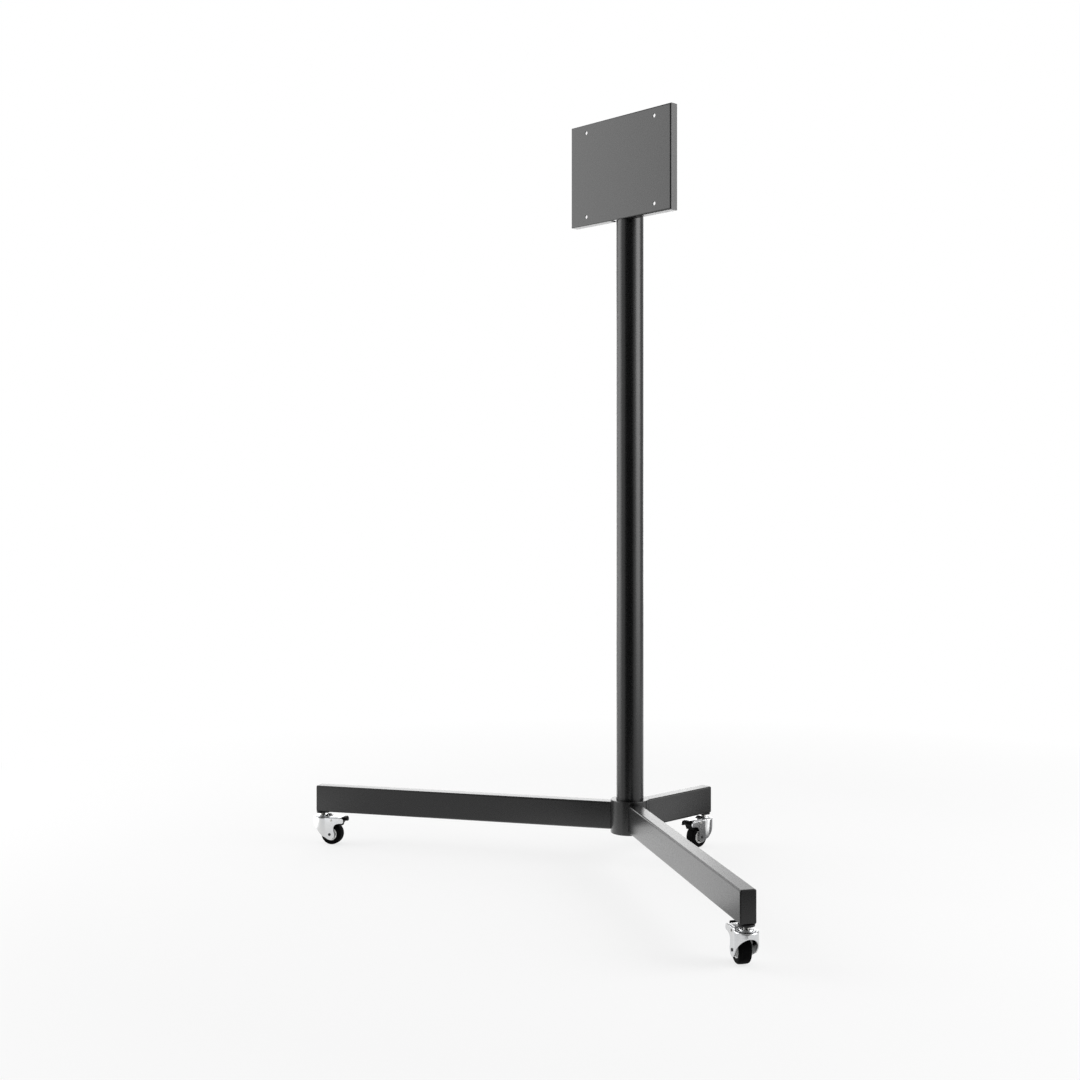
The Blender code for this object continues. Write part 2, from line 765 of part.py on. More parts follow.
def wheel_bush_mesh():
    inner = AXLE_RADIUS + FIT_GAP
    half = FORK_HALF_WIDTH - FORK_SHEET - FIT_GAP
    profile = (
        (inner, -half),
        (inner + BUSH_WALL, -half),
        (inner + BUSH_WALL, half),
        (inner, half),
    )
    return turned(profile, PIN_SIDES, "Y")


def mirrored_profile(half):
    return half + [(radius, -y) for radius, y in reversed(half)]


def rim_mesh():
    bore = AXLE_RADIUS + BUSH_WALL + 2 * FIT_GAP
    hub_half = FORK_HALF_WIDTH - FORK_SHEET - RIM_HUB_END_GAP
    ring_half = TYRE_WIDTH / 2 - RIM_STEP_IN
    seat = WHEEL_RADIUS - TYRE_THICKNESS - FIT_GAP
    half = [
        (bore, hub_half),
        (RIM_HUB_RADIUS, hub_half),
        (RIM_HUB_RADIUS, RIM_WEB / 2),
        (seat - RIM_RING, RIM_WEB / 2),
        (seat - RIM_RING, ring_half),
        (seat, ring_half),
        (seat, RIM_KEY_WIDTH / 2),
        (seat + RIM_KEY_HEIGHT, RIM_KEY_WIDTH / 2),
    ]
    return turned(mirrored_profile(half), ROUND_SIDES, "Y")


def tyre_mesh():
    """The tyre, with a groove for the rim's key and a flat facet under the axle."""
    inner = WHEEL_RADIUS - TYRE_THICKNESS
    outer = WHEEL_RADIUS / math.cos(math.pi / WHEEL_SIDES)
    half_width = TYRE_WIDTH / 2
    groove_half = RIM_KEY_WIDTH / 2 + FIT_GAP
    half = [
        (inner + RIM_KEY_HEIGHT, groove_half),
        (inner, groove_half),
        (inner, half_width - RIM_STEP_IN),
        (inner + TYRE_SIDE_SLOPE, half_width),
    ]
    shoulder = (outer - TYRE_SHOULDER, half_width - TYRE_SHOULDER)
    half += reversed(arc(shoulder, TYRE_SHOULDER, 0, math.pi / 2, SHOULDER_STEPS))
    return turned(
        mirrored_profile(half), WHEEL_SIDES, "Y", first_angle=math.pi / WHEEL_SIDES
    )


def ball_ring_mesh():
    section = circle((BALL_CIRCLE_RADIUS, BALL_HEIGHT), BALL_RADIUS, BALL_SIDES)
    return turned(section, ROUND_SIDES)


def upper_race_mesh():
    """A pressed dish: a flat rim, a channel over the balls, and a flat seat round the stem."""
    bore = STEM_RADIUS + FIT_GAP
    low = FORK_TOP + RACE_LIFT
    channel_top = RACE_TOP - RACE_SHEET
    reach = BALL_RADIUS + FIT_GAP
    inside = BALL_CIRCLE_RADIUS - reach
    outside = BALL_CIRCLE_RADIUS + reach
    wall = RACE_SHEET
    profile = (
        (bore, low),
        (inside, low),
        (inside, channel_top),
        (outside, channel_top),
        (outside, low),
        (RACE_RADIUS, low),
        (RACE_RADIUS, low + wall),
        (outside + wall, low + wall),
        (outside, RACE_TOP),
        (bore, RACE_TOP),
    )
    return turned(profile, ROUND_SIDES)


def stem_mesh():
    """The stem bolt: its head inside the fork, a collar on the race, its thread up into the leg."""
    head_top = FORK_TOP - FORK_SHEET - FIT_GAP
    collar_bottom = RACE_TOP + FIT_GAP
    thread_end = LEG_BOTTOM + LEG_WALL + FIT_GAP + NUT_THICKNESS + STUD_BEYOND_NUT
    head = prism(hexagon((0, 0), NUT_ACROSS_FLATS), head_top - STEM_HEAD, head_top)
    shank = rod(STEM_RADIUS, head_top - STEM_HEAD / 2, thread_end, PIN_SIDES)
    collar = rod(STEM_COLLAR_RADIUS, collar_bottom, collar_bottom + STEM_COLLAR, PIN_SIDES)
    return joined(head, shank, collar)


def stem_nut_mesh():
    bottom = LEG_BOTTOM + LEG_WALL + FIT_GAP
    nut = prism(hexagon((0, 0), NUT_ACROSS_FLATS), bottom, bottom + NUT_THICKNESS)
    bore = rod(
        STEM_RADIUS + FIT_GAP, bottom - TOOL_MARGIN, bottom + NUT_THICKNESS + TOOL_MARGIN, PIN_SIDES
    )
    return cut(nut, bore)


def lock_disc_mesh():
    """The fixed disc under the leg, which the brake's tongue presses on."""
    bore = STEM_RADIUS + FIT_GAP
    top = LOCK_DISC_BOTTOM + LOCK_DISC_THICKNESS
    profile = (
        (bore, LOCK_DISC_BOTTOM),
        (LOCK_DISC_RADIUS - LOCK_DISC_EDGE, LOCK_DISC_BOTTOM),
        (LOCK_DISC_RADIUS, LOCK_DISC_BOTTOM + LOCK_DISC_EDGE),
        (LOCK_DISC_RADIUS, top - LOCK_DISC_EDGE),
        (LOCK_DISC_RADIUS - LOCK_DISC_EDGE, top),
        (bore, top),
    )
    return turned(profile, ROUND_SIDES)


def lever_half_width():
    return FORK_HALF_WIDTH - FORK_SHEET - LEVER_SIDE_GAP


def lever_top_line(drop=0.0):
    """The lever's top sheet from front to rear, lowered by the drop."""
    top = FORK_TOP + FIT_GAP + LEVER_SHEET - drop
    return (
        (RACE_RADIUS + LEVER_FRONT_GAP, top),
        (PIVOT_U + LEVER_BEND_BEHIND_PIVOT, top),
        (PIVOT_U + LEVER_REAR_BEHIND_PIVOT, top - LEVER_REAR_DROP),
    )


def brake_lever_mesh():
    front, bend, rear = lever_top_line()
    plate_bottom = FORK_TOP + FIT_GAP
    cheek_front = FORK_RADIUS + 2 * FIT_GAP
    outline = [front, bend, rear]
    outline += [(rear[0], rear[1] - 2 * LEVER_SHEET)]
    outline += arc((PIVOT_U, PIVOT_Z), LEVER_CHEEK_RADIUS, -math.pi / 6, -math.pi, FOLD_STEPS)
    outline += [(cheek_front, plate_bottom), (front[0], plate_bottom)]
    half = lever_half_width()
    pan = prism(outline, -half, half, "XZ")
    pan_front = cheek_front + LEVER_SHEET
    inside = lever_top_line(LEVER_SHEET)
    below = PIVOT_Z - 2 * LEVER_CHEEK_RADIUS
    hollow_outline = [
        (pan_front, inside[0][1]),
        inside[1],
        (inside[2][0] + TOOL_MARGIN, inside[2][1] - TOOL_MARGIN * LEVER_REAR_DROP / (rear[0] - bend[0])),
        (inside[2][0] + TOOL_MARGIN, below),
        (pan_front, below),
    ]
    hollow = prism(hollow_outline, LEVER_SHEET - half, half - LEVER_SHEET, "XZ")
    pin_hole = rod(
        PIVOT_PIN_RADIUS + FIT_GAP, -FORK_RADIUS, FORK_RADIUS, PIN_SIDES, (PIVOT_U, PIVOT_Z), "XZ"
    )
    wall_front = front[0] + FIT_GAP
    wall_back = wall_front + LEVER_SHEET
    tongue_outline = (
        (TONGUE_TIP_U, TONGUE_TOP - LEVER_SHEET),
        (wall_front, TONGUE_TOP - LEVER_SHEET),
        (wall_front, plate_bottom + LEVER_SHEET / 2),
        (wall_back, plate_bottom + LEVER_SHEET / 2),
        (wall_back, TONGUE_TOP - LEVER_SHEET / 2),
        (wall_back - LEVER_SHEET / 2, TONGUE_TOP),
        (TONGUE_TIP_U, TONGUE_TOP),
    )
    tongue = prism(tongue_outline, -TONGUE_HALF_WIDTH, TONGUE_HALF_WIDTH, "XZ")
    lever = joined(cut(pan, hollow, pin_hole), tongue)
    return moved(lever, x=-PIVOT_U, z=-PIVOT_Z)


def shoe_face():
    """The shoe's curve: it lies along the tyre when the brake is on, so it is turned back to off."""
    pressed = arc(
        (TRAIL, AXLE_HEIGHT), WHEEL_RADIUS + FIT_GAP, SHOE_END, SHOE_START, CURVE_STEPS
    )
    return [turned_back(point, (PIVOT_U, PIVOT_Z), BRAKE_TRAVEL) for point in pressed]


def pedal_side():
    front, bend, rear = lever_top_line(LEVER_SHEET + FIT_GAP)
    face = shoe_face()
    tip = (PIVOT_U + PEDAL_REACH - PEDAL_TIP_RADIUS, PIVOT_Z + PEDAL_TIP_RISE)
    waist = (PIVOT_U + PEDAL_WAIST_BACK, PIVOT_Z - PEDAL_WAIST_DROP)
    body_front = FORK_RADIUS + LEVER_SHEET + 4 * FIT_GAP
    step = rear[0] + FIT_GAP
    outline = [(body_front, front[1]), bend, (step, rear[1])]
    outline += [(step, rear[1] + LEVER_SHEET)]
    outline += arc(tip, PEDAL_TIP_RADIUS, 2 * math.pi / 3, -math.pi / 4, 2 * CORNER_STEPS)
    outline += curve(outline[-1], waist, face[0], CURVE_STEPS)[1:]
    outline += face[1:]
    outline += [(body_front, PIVOT_Z - LEVER_CHEEK_RADIUS)]
    return outline


def brake_pedal_mesh():
    """The moulded pedal: its shoe over the tyre, its rounded tread plate behind the fork."""
    half = lever_half_width() - LEVER_SHEET - PEDAL_SIDE_GAP
    body = prism(pedal_side(), -half, half, "XZ")
    rear = PIVOT_U + PEDAL_REACH
    plan = [(0, -half - TOOL_MARGIN), (0, half + TOOL_MARGIN)]
    plan += [(rear - half, half + TOOL_MARGIN)]
    plan += arc((rear - half, 0), half, math.pi / 2, -math.pi / 2, ROUND_SIDES // 2)
    plan += [(rear - half, -half - TOOL_MARGIN)]
    body = combined(body, prism(plan, 0, 2 * FORK_TOP), "INTERSECT")
    pin_hole = rod(
        PIVOT_PIN_RADIUS + FIT_GAP, -FORK_RADIUS, FORK_RADIUS, PIN_SIDES, (PIVOT_U, PIVOT_Z), "XZ"
    )
    return moved(cut(body, pin_hole), x=-PIVOT_U, z=-PIVOT_Z)


def castor_meshes():
    return {
        "fork": fork_mesh(),
        "ball_ring": ball_ring_mesh(),
        "wheel_bush": wheel_bush_mesh(),
        "axle": headed_pin(AXLE_RADIUS, AXLE_HEAD_RADIUS, AXLE_HEAD, FORK_HALF_WIDTH),
        "rim": rim_mesh(),
        "tyre": tyre_mesh(),
        "brake_lever": brake_lever_mesh(),
        "brake_pedal": brake_pedal_mesh(),
        "lever_pin": headed_pin(PIVOT_PIN_RADIUS, PIVOT_HEAD_RADIUS, PIVOT_HEAD, FORK_HALF_WIDTH),
        "upper_race": upper_race_mesh(),
        "stem": stem_mesh(),
        "stem_nut": stem_nut_mesh(),
        "lock_disc": lock_disc_mesh(),
    }


def build_castor(side, parent, meshes, materials):
    """One castor under the end of a leg, its wheel trailing towards the hub."""
    direction, reach = LEGS[side]
    swivel_reach = reach - SWIVEL_INSET
    centre = Vector((math.cos(direction), math.sin(direction), 0)) * swivel_reach
    swivel = empty(side + "_swivel_axis", parent, centre, direction + math.pi)
    axle = empty(side + "_axle_axis", swivel, (TRAIL, 0, AXLE_HEIGHT))
    pivot = empty(side + "_brake_axis", swivel, (PIVOT_U, 0, PIVOT_Z))
    pieces = (
        ("fork", "zinc", swivel),
        ("ball_ring", "fastener", swivel),
        ("upper_race", "zinc", swivel),
        ("stem", "fastener", swivel),
        ("stem_nut", "fastener", swivel),
        ("lock_disc", "black_steel", swivel),
        ("wheel_bush", "fastener", axle),
        ("axle", "black_steel", axle),
        ("rim", "white_plastic", axle),
        ("tyre", "rubber", axle),
        ("brake_lever", "zinc", pivot),
        ("brake_pedal", "black_plastic", pivot),
        ("lever_pin", "fastener", pivot),
    )
    for piece, finish, carrier in pieces:
        place(side + "_" + piece, meshes[piece].copy(), materials[finish], carrier)


def main():
    clear_scene()
    materials = make_materials()
    column_axis = empty("column_axis", None, (0, COLUMN_Y, 0))
    build_base(column_axis, materials)
    build_head(column_axis, materials)
    meshes = castor_meshes()
    for side in LEGS:
        build_castor(side, column_axis, meshes, materials)
    bpy.context.view_layer.update()


main()
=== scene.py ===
import json
import math

import bmesh
import bpy
from mathutils import Matrix, Vector


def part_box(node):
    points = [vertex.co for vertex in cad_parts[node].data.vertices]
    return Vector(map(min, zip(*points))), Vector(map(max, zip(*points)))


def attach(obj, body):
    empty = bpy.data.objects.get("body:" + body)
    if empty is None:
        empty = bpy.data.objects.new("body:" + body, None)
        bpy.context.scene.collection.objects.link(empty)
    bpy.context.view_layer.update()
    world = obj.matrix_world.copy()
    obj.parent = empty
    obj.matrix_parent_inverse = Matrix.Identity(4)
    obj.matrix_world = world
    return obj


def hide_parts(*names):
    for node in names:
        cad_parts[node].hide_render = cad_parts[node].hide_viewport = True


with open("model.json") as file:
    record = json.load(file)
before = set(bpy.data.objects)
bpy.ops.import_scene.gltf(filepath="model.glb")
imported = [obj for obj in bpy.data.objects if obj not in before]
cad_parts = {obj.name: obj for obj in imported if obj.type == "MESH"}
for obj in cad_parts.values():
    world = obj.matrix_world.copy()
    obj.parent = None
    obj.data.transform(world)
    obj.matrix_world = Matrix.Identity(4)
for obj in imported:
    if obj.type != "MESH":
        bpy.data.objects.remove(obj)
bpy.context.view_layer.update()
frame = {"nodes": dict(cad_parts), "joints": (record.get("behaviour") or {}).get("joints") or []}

print("frame loaded:", len(frame["nodes"]), "solids")

# places and sizes that the frame gives
jointAt = {joint["name"]: Vector(joint["pos_m"]) for joint in frame["joints"]}
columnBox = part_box("column")
columnAxis = (columnBox[0] + columnBox[1]) / 2
columnRadius = (columnBox[1].x - columnBox[0].x) / 2
standPlace = Matrix.Translation((columnAxis.x, columnAxis.y, 0))
sides = ("left", "right", "rear")
fitGap = 0.0003
overshoot = 0.002
hair = 0.00001  # keeps a cutting shape off a face that it would share
quarter = math.pi / 2


def legDirection(side):
    offset = jointAt[side + "_swivel"] - columnAxis
    return math.atan2(offset.y, offset.x)


def swivelReach(side):
    offset = jointAt[side + "_swivel"] - columnAxis
    return math.hypot(offset.x, offset.y)


def legPlace(side):
    return standPlace @ Matrix.Rotation(legDirection(side), 4, "Z")


def castorPlace(side):
    # the castor is drawn with its swivel axis on Z and its wheel trailing along +X
    swivel = jointAt[side + "_swivel"]
    turn = Matrix.Rotation(legDirection(side) + math.pi, 4, "Z")
    return Matrix.Translation((swivel.x, swivel.y, 0)) @ turn


def castorBox(node):
    # the rear castor stands square to the frame, so its boxes give every castor's sizes
    low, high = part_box("rear_" + node)
    swivel = jointAt["rear_swivel"]
    return Vector((swivel.y - high.y, low.x, low.z)), Vector((swivel.y - low.y, high.x, high.z))


rearAxle = jointAt["rear_wheel_spin"]
rearPivot = jointAt["rear_brake_press"]
trail = jointAt["rear_swivel"].y - rearAxle.y
axleHeight = rearAxle.z
pivotReach = jointAt["rear_swivel"].y - rearPivot.y
pivotHeight = rearPivot.z
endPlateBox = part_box("rear_end_plate")
swivelInset = endPlateBox[1].y - columnAxis.y - swivelReach("rear")


# outlines, as points in a plane
def arc(centre, radius, start, end, steps):
    points = []
    for i in range(steps + 1):
        angle = start + (end - start) * i / steps
        points.append((centre[0] + radius * math.cos(angle), centre[1] + radius * math.sin(angle)))
    return points


def sweep(start, control, end, steps):
    points = []
    for i in range(steps + 1):
        t = i / steps
        both = zip(start, control, end)
        points.append(tuple((1 - t) ** 2 * a + 2 * t * (1 - t) * b + t**2 * c for a, b, c in both))
    return points


def ring(centre, radius, steps):
    return arc(centre, radius, 0, math.tau, steps)[:-1]


def tubeSection(inner, outer, low, high, edge):
    # half a tube's cut, with a small chamfer on its outer edges
    section = [(inner, low), (outer - edge, low), (outer, low + edge)]
    return section + [(outer, high - edge), (outer - edge, high), (inner, high)]


def mirrored(half):
    # a profile of radius and height points, and the same below
    return half + [(radius, -height) for radius, height in reversed(half)]


def rectangle(low, high):
    return [low, (high[0], low[1]), high, (low[0], high[1])]


def roundedBox(low, high, radius, steps):
    corners = (
        (high[0] - radius, high[1] - radius, 0),
        (low[0] + radius, high[1] - radius, quarter),
        (low[0] + radius, low[1] + radius, math.pi),
        (high[0] - radius, low[1] + radius, 3 * quarter),
    )
    points = []
    for x, y, start in corners:
        points += arc((x, y), radius, start, start + quarter, steps)
    return points


# meshes from outlines
planes = {
    "XY": Matrix.Identity(4),
    "XZ": Matrix(((1, 0, 0, 0), (0, 0, 1, 0), (0, 1, 0, 0), (0, 0, 0, 1))),
    "YZ": Matrix(((0, 0, 1, 0), (1, 0, 0, 0), (0, 1, 0, 0), (0, 0, 0, 1))),
}


def pushed(outline, low, high, plane="XY"):
    shape = bmesh.new()
    face = shape.faces.new([shape.verts.new((x, y, low)) for x, y in outline])
    grown = bmesh.ops.extrude_face_region(shape, geom=[face])
    tops = [item for item in grown["geom"] if isinstance(item, bmesh.types.BMVert)]
    bmesh.ops.translate(shape, vec=(0, 0, high - low), verts=tops)
    bmesh.ops.transform(shape, matrix=planes[plane], verts=shape.verts)
    bmesh.ops.recalc_face_normals(shape, faces=shape.faces)
    return shape


def spun(profile, steps, axis="Z", closed=True):
    # radius and height points turned once; an open profile starts and ends on the axis
    shape = bmesh.new()
    points = [shape.verts.new((radius, 0, height)) for radius, height in profile]
    pairs = list(zip(points, points[1:]))
    if closed:
        pairs.append((points[-1], points[0]))
    edges = [shape.edges.new(pair) for pair in pairs]
    bmesh.ops.spin(
        shape, geom=points + edges, axis=(0, 0, 1), cent=(0, 0, 0),
        angle=math.tau, steps=steps, use_merge=True,
    )
    bmesh.ops.remove_doubles(shape, verts=shape.verts, dist=1e-6)
    bmesh.ops.recalc_face_normals(shape, faces=shape.faces)
    if axis == "Y":
        bmesh.ops.rotate(shape, matrix=Matrix.Rotation(-quarter, 3, "X"), verts=shape.verts)
    return shape


def rod(radius, low, high, steps, centre=(0, 0), plane="XY"):
    return pushed(ring(centre, radius, steps), low, high, plane)


def softened(shape, width, segments, sharperThan=40, chosen=None):
    # rounds every edge that is sharper than the angle, or only those that chosen() picks
    limit = math.radians(sharperThan)
    edges = [
        edge for edge in shape.edges
        if edge.is_manifold and edge.calc_face_angle() > limit and (chosen is None or chosen(edge))
    ]
    bmesh.ops.bevel(
        shape, geom=edges, offset=width, offset_type="OFFSET", segments=segments,
        profile=0.5, affect="EDGES", material=-1, clamp_overlap=True,
    )
    return shape


def moved(shape, centre, plane="XY"):
    bmesh.ops.translate(shape, vec=(centre[0], centre[1], 0), verts=shape.verts)
    bmesh.ops.transform(shape, matrix=planes[plane], verts=shape.verts)
    bmesh.ops.recalc_face_normals(shape, faces=shape.faces)
    return shape


def asMesh(shape, name):
    mesh = bpy.data.meshes.new(name)
    shape.to_mesh(mesh)
    shape.free()
    return mesh


def added(name, data):
    item = bpy.data.objects.new(name, data)
    bpy.context.scene.collection.objects.link(item)
    return item


def flattened(shape):
    # merges the facets of one plane
    turn = math.radians(0.5)
    bmesh.ops.dissolve_limit(shape, angle_limit=turn, verts=shape.verts, edges=shape.edges)


def combined(base, tool, operation):
    # one shape from two, both used up
    pair = [added("work", asMesh(item, "work")) for item in (base, tool)]
    step = pair[0].modifiers.new("combine", "BOOLEAN")
    step.operation = operation
    step.solver = "EXACT"
    step.object = pair[1]
    graph = bpy.context.evaluated_depsgraph_get()
    result = bpy.data.meshes.new_from_object(pair[0].evaluated_get(graph))
    for item in pair:
        bpy.data.objects.remove(item, do_unlink=True)
    shape = bmesh.new()
    shape.from_mesh(result)
    bmesh.ops.remove_doubles(shape, verts=shape.verts, dist=1e-6)
    flattened(shape)
    return shape


def carved(base, *tools):
    for tool in tools:
        base = combined(base, tool, "DIFFERENCE")
    return base


def merged(base, *others):
    for other in others:
        base = combined(base, other, "UNION")
    return base


def piece(name, mesh, slot, body, nodes, place=None):
    # one finished piece: its place goes into its mesh, and it stands for its solids
    sharpAbove = math.radians(38)
    own = mesh.copy()
    own.name = name
    if place is not None:
        own.transform(place)
    own.materials.clear()
    own.materials.append(finishes[slot])
    own.shade_smooth()
    own.set_sharp_from_angle(angle=sharpAbove)
    item = added(name, own)
    # keeps broad flat faces flat beside their rounded edges
    item.modifiers.new("flat faces", "WEIGHTED_NORMAL").keep_sharp = True
    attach(item, body)
    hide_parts(*nodes)


# materials
def startMaterial(name, look):
    material = bpy.data.materials.new(name)
    material.use_nodes = True
    nodes = material.node_tree.nodes
    shader = nodes["Principled BSDF"]
    shader.inputs["Base Color"].default_value = (*look["colour"], 1)
    shader.inputs["Roughness"].default_value = look["smooth"]
    shader.inputs["Metallic"].default_value = look.get("metallic", 0)
    shader.inputs["Specular IOR Level"].default_value = look.get("gloss", 0.5)
    where = nodes.new("ShaderNodeTexCoord").outputs["Object"]
    return material, nodes, material.node_tree.links, shader, where


def stretched(nodes, links, where, scale):
    mapping = nodes.new("ShaderNodeMapping")
    mapping.inputs["Scale"].default_value = scale
    links.new(where, mapping.inputs["Vector"])
    return mapping.outputs["Vector"]


def noise(nodes, links, where, scale, detail=2.0, roughness=0.5):
    texture = nodes.new("ShaderNodeTexNoise")
    texture.inputs["Scale"].default_value = scale
    texture.inputs["Detail"].default_value = detail
    texture.inputs["Roughness"].default_value = roughness
    links.new(where, texture.inputs["Vector"])
    return texture.outputs["Fac"]


def ranged(nodes, links, value, low, high, fromLow=0.3, fromHigh=0.7):
    spread = nodes.new("ShaderNodeMapRange")
    spread.inputs["From Min"].default_value = fromLow
    spread.inputs["From Max"].default_value = fromHigh
    spread.inputs["To Min"].default_value = low
    spread.inputs["To Max"].default_value = high
    links.new(value, spread.inputs["Value"])
    return spread.outputs["Result"]


def mixed(nodes, links, factor, first, second):
    mix = nodes.new("ShaderNodeMix")
    mix.data_type = "RGBA"
    links.new(factor, mix.inputs["Factor"])
    for socket, value in ((mix.inputs[6], first), (mix.inputs[7], second)):
        if isinstance(value, tuple):
            socket.default_value = (*value, 1)
        else:
            links.new(value, socket)
    return mix.outputs[2]


def bumped(nodes, links, height, strength, distance, under=None):
    bump = nodes.new("ShaderNodeBump")
    bump.inputs["Strength"].default_value = strength
    bump.inputs["Distance"].default_value = distance
    links.new(height, bump.inputs["Height"])
    if under is not None:
        links.new(under, bump.inputs["Normal"])
    return bump.outputs["Normal"]


def makePowderCoat():
    look = {
        "colour": (0.0030, 0.0031, 0.0033), "faded": (0.0040, 0.0041, 0.0043), "cloudScale": 9,
        # edge is the lighter colour of the edges: thin coat and a painted highlight
        "edge": (0.0090, 0.0092, 0.0095), "thinCoatAndHighlightWidth": 0.0007, "thinCoatAndHighlightShare": 0.8,
        "thinCoatAndHighlightSpan": (0.80, 0.985), "smooth": 0.25, "dull": 0.32, "speckleScale": 420,
        "grainScale": 1900, "grainBump": 0.18, "grainDepth": 0.00004,
        "peelScale": 260, "peelBump": 0.16, "peelDepth": 0.00009,
    }
    material, nodes, links, shader, where = startMaterial("powderCoat", look)
    cloudy = ranged(nodes, links, noise(nodes, links, where, look["cloudScale"], 4), 0, 1)
    base = mixed(nodes, links, cloudy, look["colour"], look["faded"])
    # the edges take a lighter colour: partly the coat pulling thin over them, partly a painted highlight
    # for the light they catch
    rounding = nodes.new("ShaderNodeBevel")
    rounding.samples = 4
    rounding.inputs["Radius"].default_value = look["thinCoatAndHighlightWidth"]
    geometry = nodes.new("ShaderNodeNewGeometry")
    turned = nodes.new("ShaderNodeVectorMath")
    turned.operation = "DOT_PRODUCT"
    links.new(rounding.outputs["Normal"], turned.inputs[0])
    links.new(geometry.outputs["Normal"], turned.inputs[1])
    # the edge mask lays the lighter colour, thin coat and painted highlight, along the edges
    edge = ranged(nodes, links, turned.outputs["Value"], look["thinCoatAndHighlightShare"], 0, *look["thinCoatAndHighlightSpan"])
    links.new(mixed(nodes, links, edge, base, look["edge"]), shader.inputs["Base Color"])
    speckle = noise(nodes, links, where, look["speckleScale"], 3)
    links.new(ranged(nodes, links, speckle, look["smooth"], look["dull"]), shader.inputs["Roughness"])
    peel = noise(nodes, links, where, look["peelScale"], 1)
    peel = bumped(nodes, links, peel, look["peelBump"], look["peelDepth"])
    grain = noise(nodes, links, where, look["grainScale"], 2, 0.6)
    grain = bumped(nodes, links, grain, look["grainBump"], look["grainDepth"], peel)
    links.new(grain, shader.inputs["Normal"])
    return material


def makeZincPlate():
    look = {
        "colour": (0.66, 0.665, 0.67), "blue": (0.625, 0.635, 0.65), "warm": (0.65, 0.645, 0.63),
        "metallic": 1, "smooth": 0.17, "dull": 0.21, "blueScale": 55, "warmScale": 23,
        "warmBlend": (0.5, 0.45, 0.7), "bump": 0.05,
        "drawLines": (700, 700, 160), "lineDepth": 0.00001, "pressScale": 150, "pressDepth": 0.0001,
    }
    material, nodes, links, shader, where = startMaterial("zincPlate", look)
    tint = ranged(nodes, links, noise(nodes, links, where, look["blueScale"], 3), 0, 1)
    warmth = noise(nodes, links, where, look["warmScale"], 2)
    warmth = ranged(nodes, links, warmth, 0, *look["warmBlend"])
    base = mixed(nodes, links, tint, look["colour"], look["blue"])
    links.new(mixed(nodes, links, warmth, base, look["warm"]), shader.inputs["Base Color"])
    lines = noise(nodes, links, stretched(nodes, links, where, look["drawLines"]), 1, 3, 0.7)
    links.new(ranged(nodes, links, lines, look["smooth"], look["dull"]), shader.inputs["Roughness"])
    pressed = noise(nodes, links, where, look["pressScale"], 1)
    pressed = bumped(nodes, links, pressed, look["bump"], look["pressDepth"])
    lines = bumped(nodes, links, lines, look["bump"], look["lineDepth"], pressed)
    links.new(lines, shader.inputs["Normal"])
    return material


# tone and grain are a noise's scale, detail and roughness; a blend gives the second colour's
# greatest share, and the tones between which it comes in
plainLooks = {
    "fastenerSteel": {
        "colour": (0.58, 0.57, 0.54), "second": (0.44, 0.44, 0.43), "metallic": 1, "smooth": 0.26,
        "dull": 0.42, "tone": (240, 4), "blend": (1, 0.3, 0.7), "grain": (900, 3, 0.7),
        "bump": 0.15, "depth": 0.00003,
    },
    "blackSteel": {
        "colour": (0.010, 0.010, 0.011), "second": (0.030, 0.029, 0.028), "gloss": 0.3, "smooth": 0.32,
        "dull": 0.48, "tone": (380, 4, 0.6), "blend": (0.7, 0.52, 0.75), "grain": (1100, 2),
        "bump": 0.15, "depth": 0.00003,
    },
    "tyreRubber": {
        "colour": (0.0024, 0.0024, 0.0026), "second": (0.0046, 0.0046, 0.0048), "gloss": 0.02,
        "smooth": 0.58, "dull": 0.72, "tone": (130, 5, 0.6), "blend": (0.8, 0.45, 0.75),
        "grain": (1500, 2), "bump": 0.25, "depth": 0.00004, "dusty": True,
    },
    "whitePlastic": {
        "colour": (0.88, 0.88, 0.87), "second": (0.83, 0.83, 0.82), "smooth": 0.32, "dull": 0.44,
        "tone": (90, 3), "blend": (1, 0.3, 0.7), "grain": (1300, 2), "bump": 0.12, "depth": 0.00003,
    },
    "blackPlastic": {
        "colour": (0.0030, 0.0030, 0.0032), "second": (0.0060, 0.0060, 0.0062), "gloss": 0.04,
        "smooth": 0.46, "dull": 0.60, "tone": (170, 5, 0.65), "blend": (0.7, 0.5, 0.75),
        "pores": 1700, "poreSpan": (0.1, 0.6), "bump": 0.3, "depth": 0.00004,
    },
}


def makePlain(name):
    # the tone blends two colours, and the grain or the pores dent and dull the surface
    look = plainLooks[name]
    material, nodes, links, shader, where = startMaterial(name, look)
    tone = ranged(nodes, links, noise(nodes, links, where, *look["tone"]), 0, *look["blend"])
    links.new(mixed(nodes, links, tone, look["colour"], look["second"]), shader.inputs["Base Color"])
    span = (0.3, 0.7)
    if "pores" in look:
        cells = nodes.new("ShaderNodeTexVoronoi")
        cells.inputs["Scale"].default_value = look["pores"]
        links.new(where, cells.inputs["Vector"])
        grain = cells.outputs["Distance"]
        span = look["poreSpan"]
    else:
        grain = noise(nodes, links, where, *look["grain"])
    dulling = tone if "dusty" in look else grain
    rough = ranged(nodes, links, dulling, look["smooth"], look["dull"], *span)
    links.new(rough, shader.inputs["Roughness"])
    links.new(bumped(nodes, links, grain, look["bump"], look["depth"]), shader.inputs["Normal"])
    return material


# one finish for each material slot of the record
finishes = {
    "powder_coat": makePowderCoat(),
    "zinc_plate": makeZincPlate(),
    "fastener_steel": makePlain("fastenerSteel"),
    "black_steel": makePlain("blackSteel"),
    "tyre_rubber": makePlain("tyreRubber"),
    "white_plastic": makePlain("whitePlastic"),
    "black_plastic": makePlain("blackPlastic"),
}
print("finishes made")


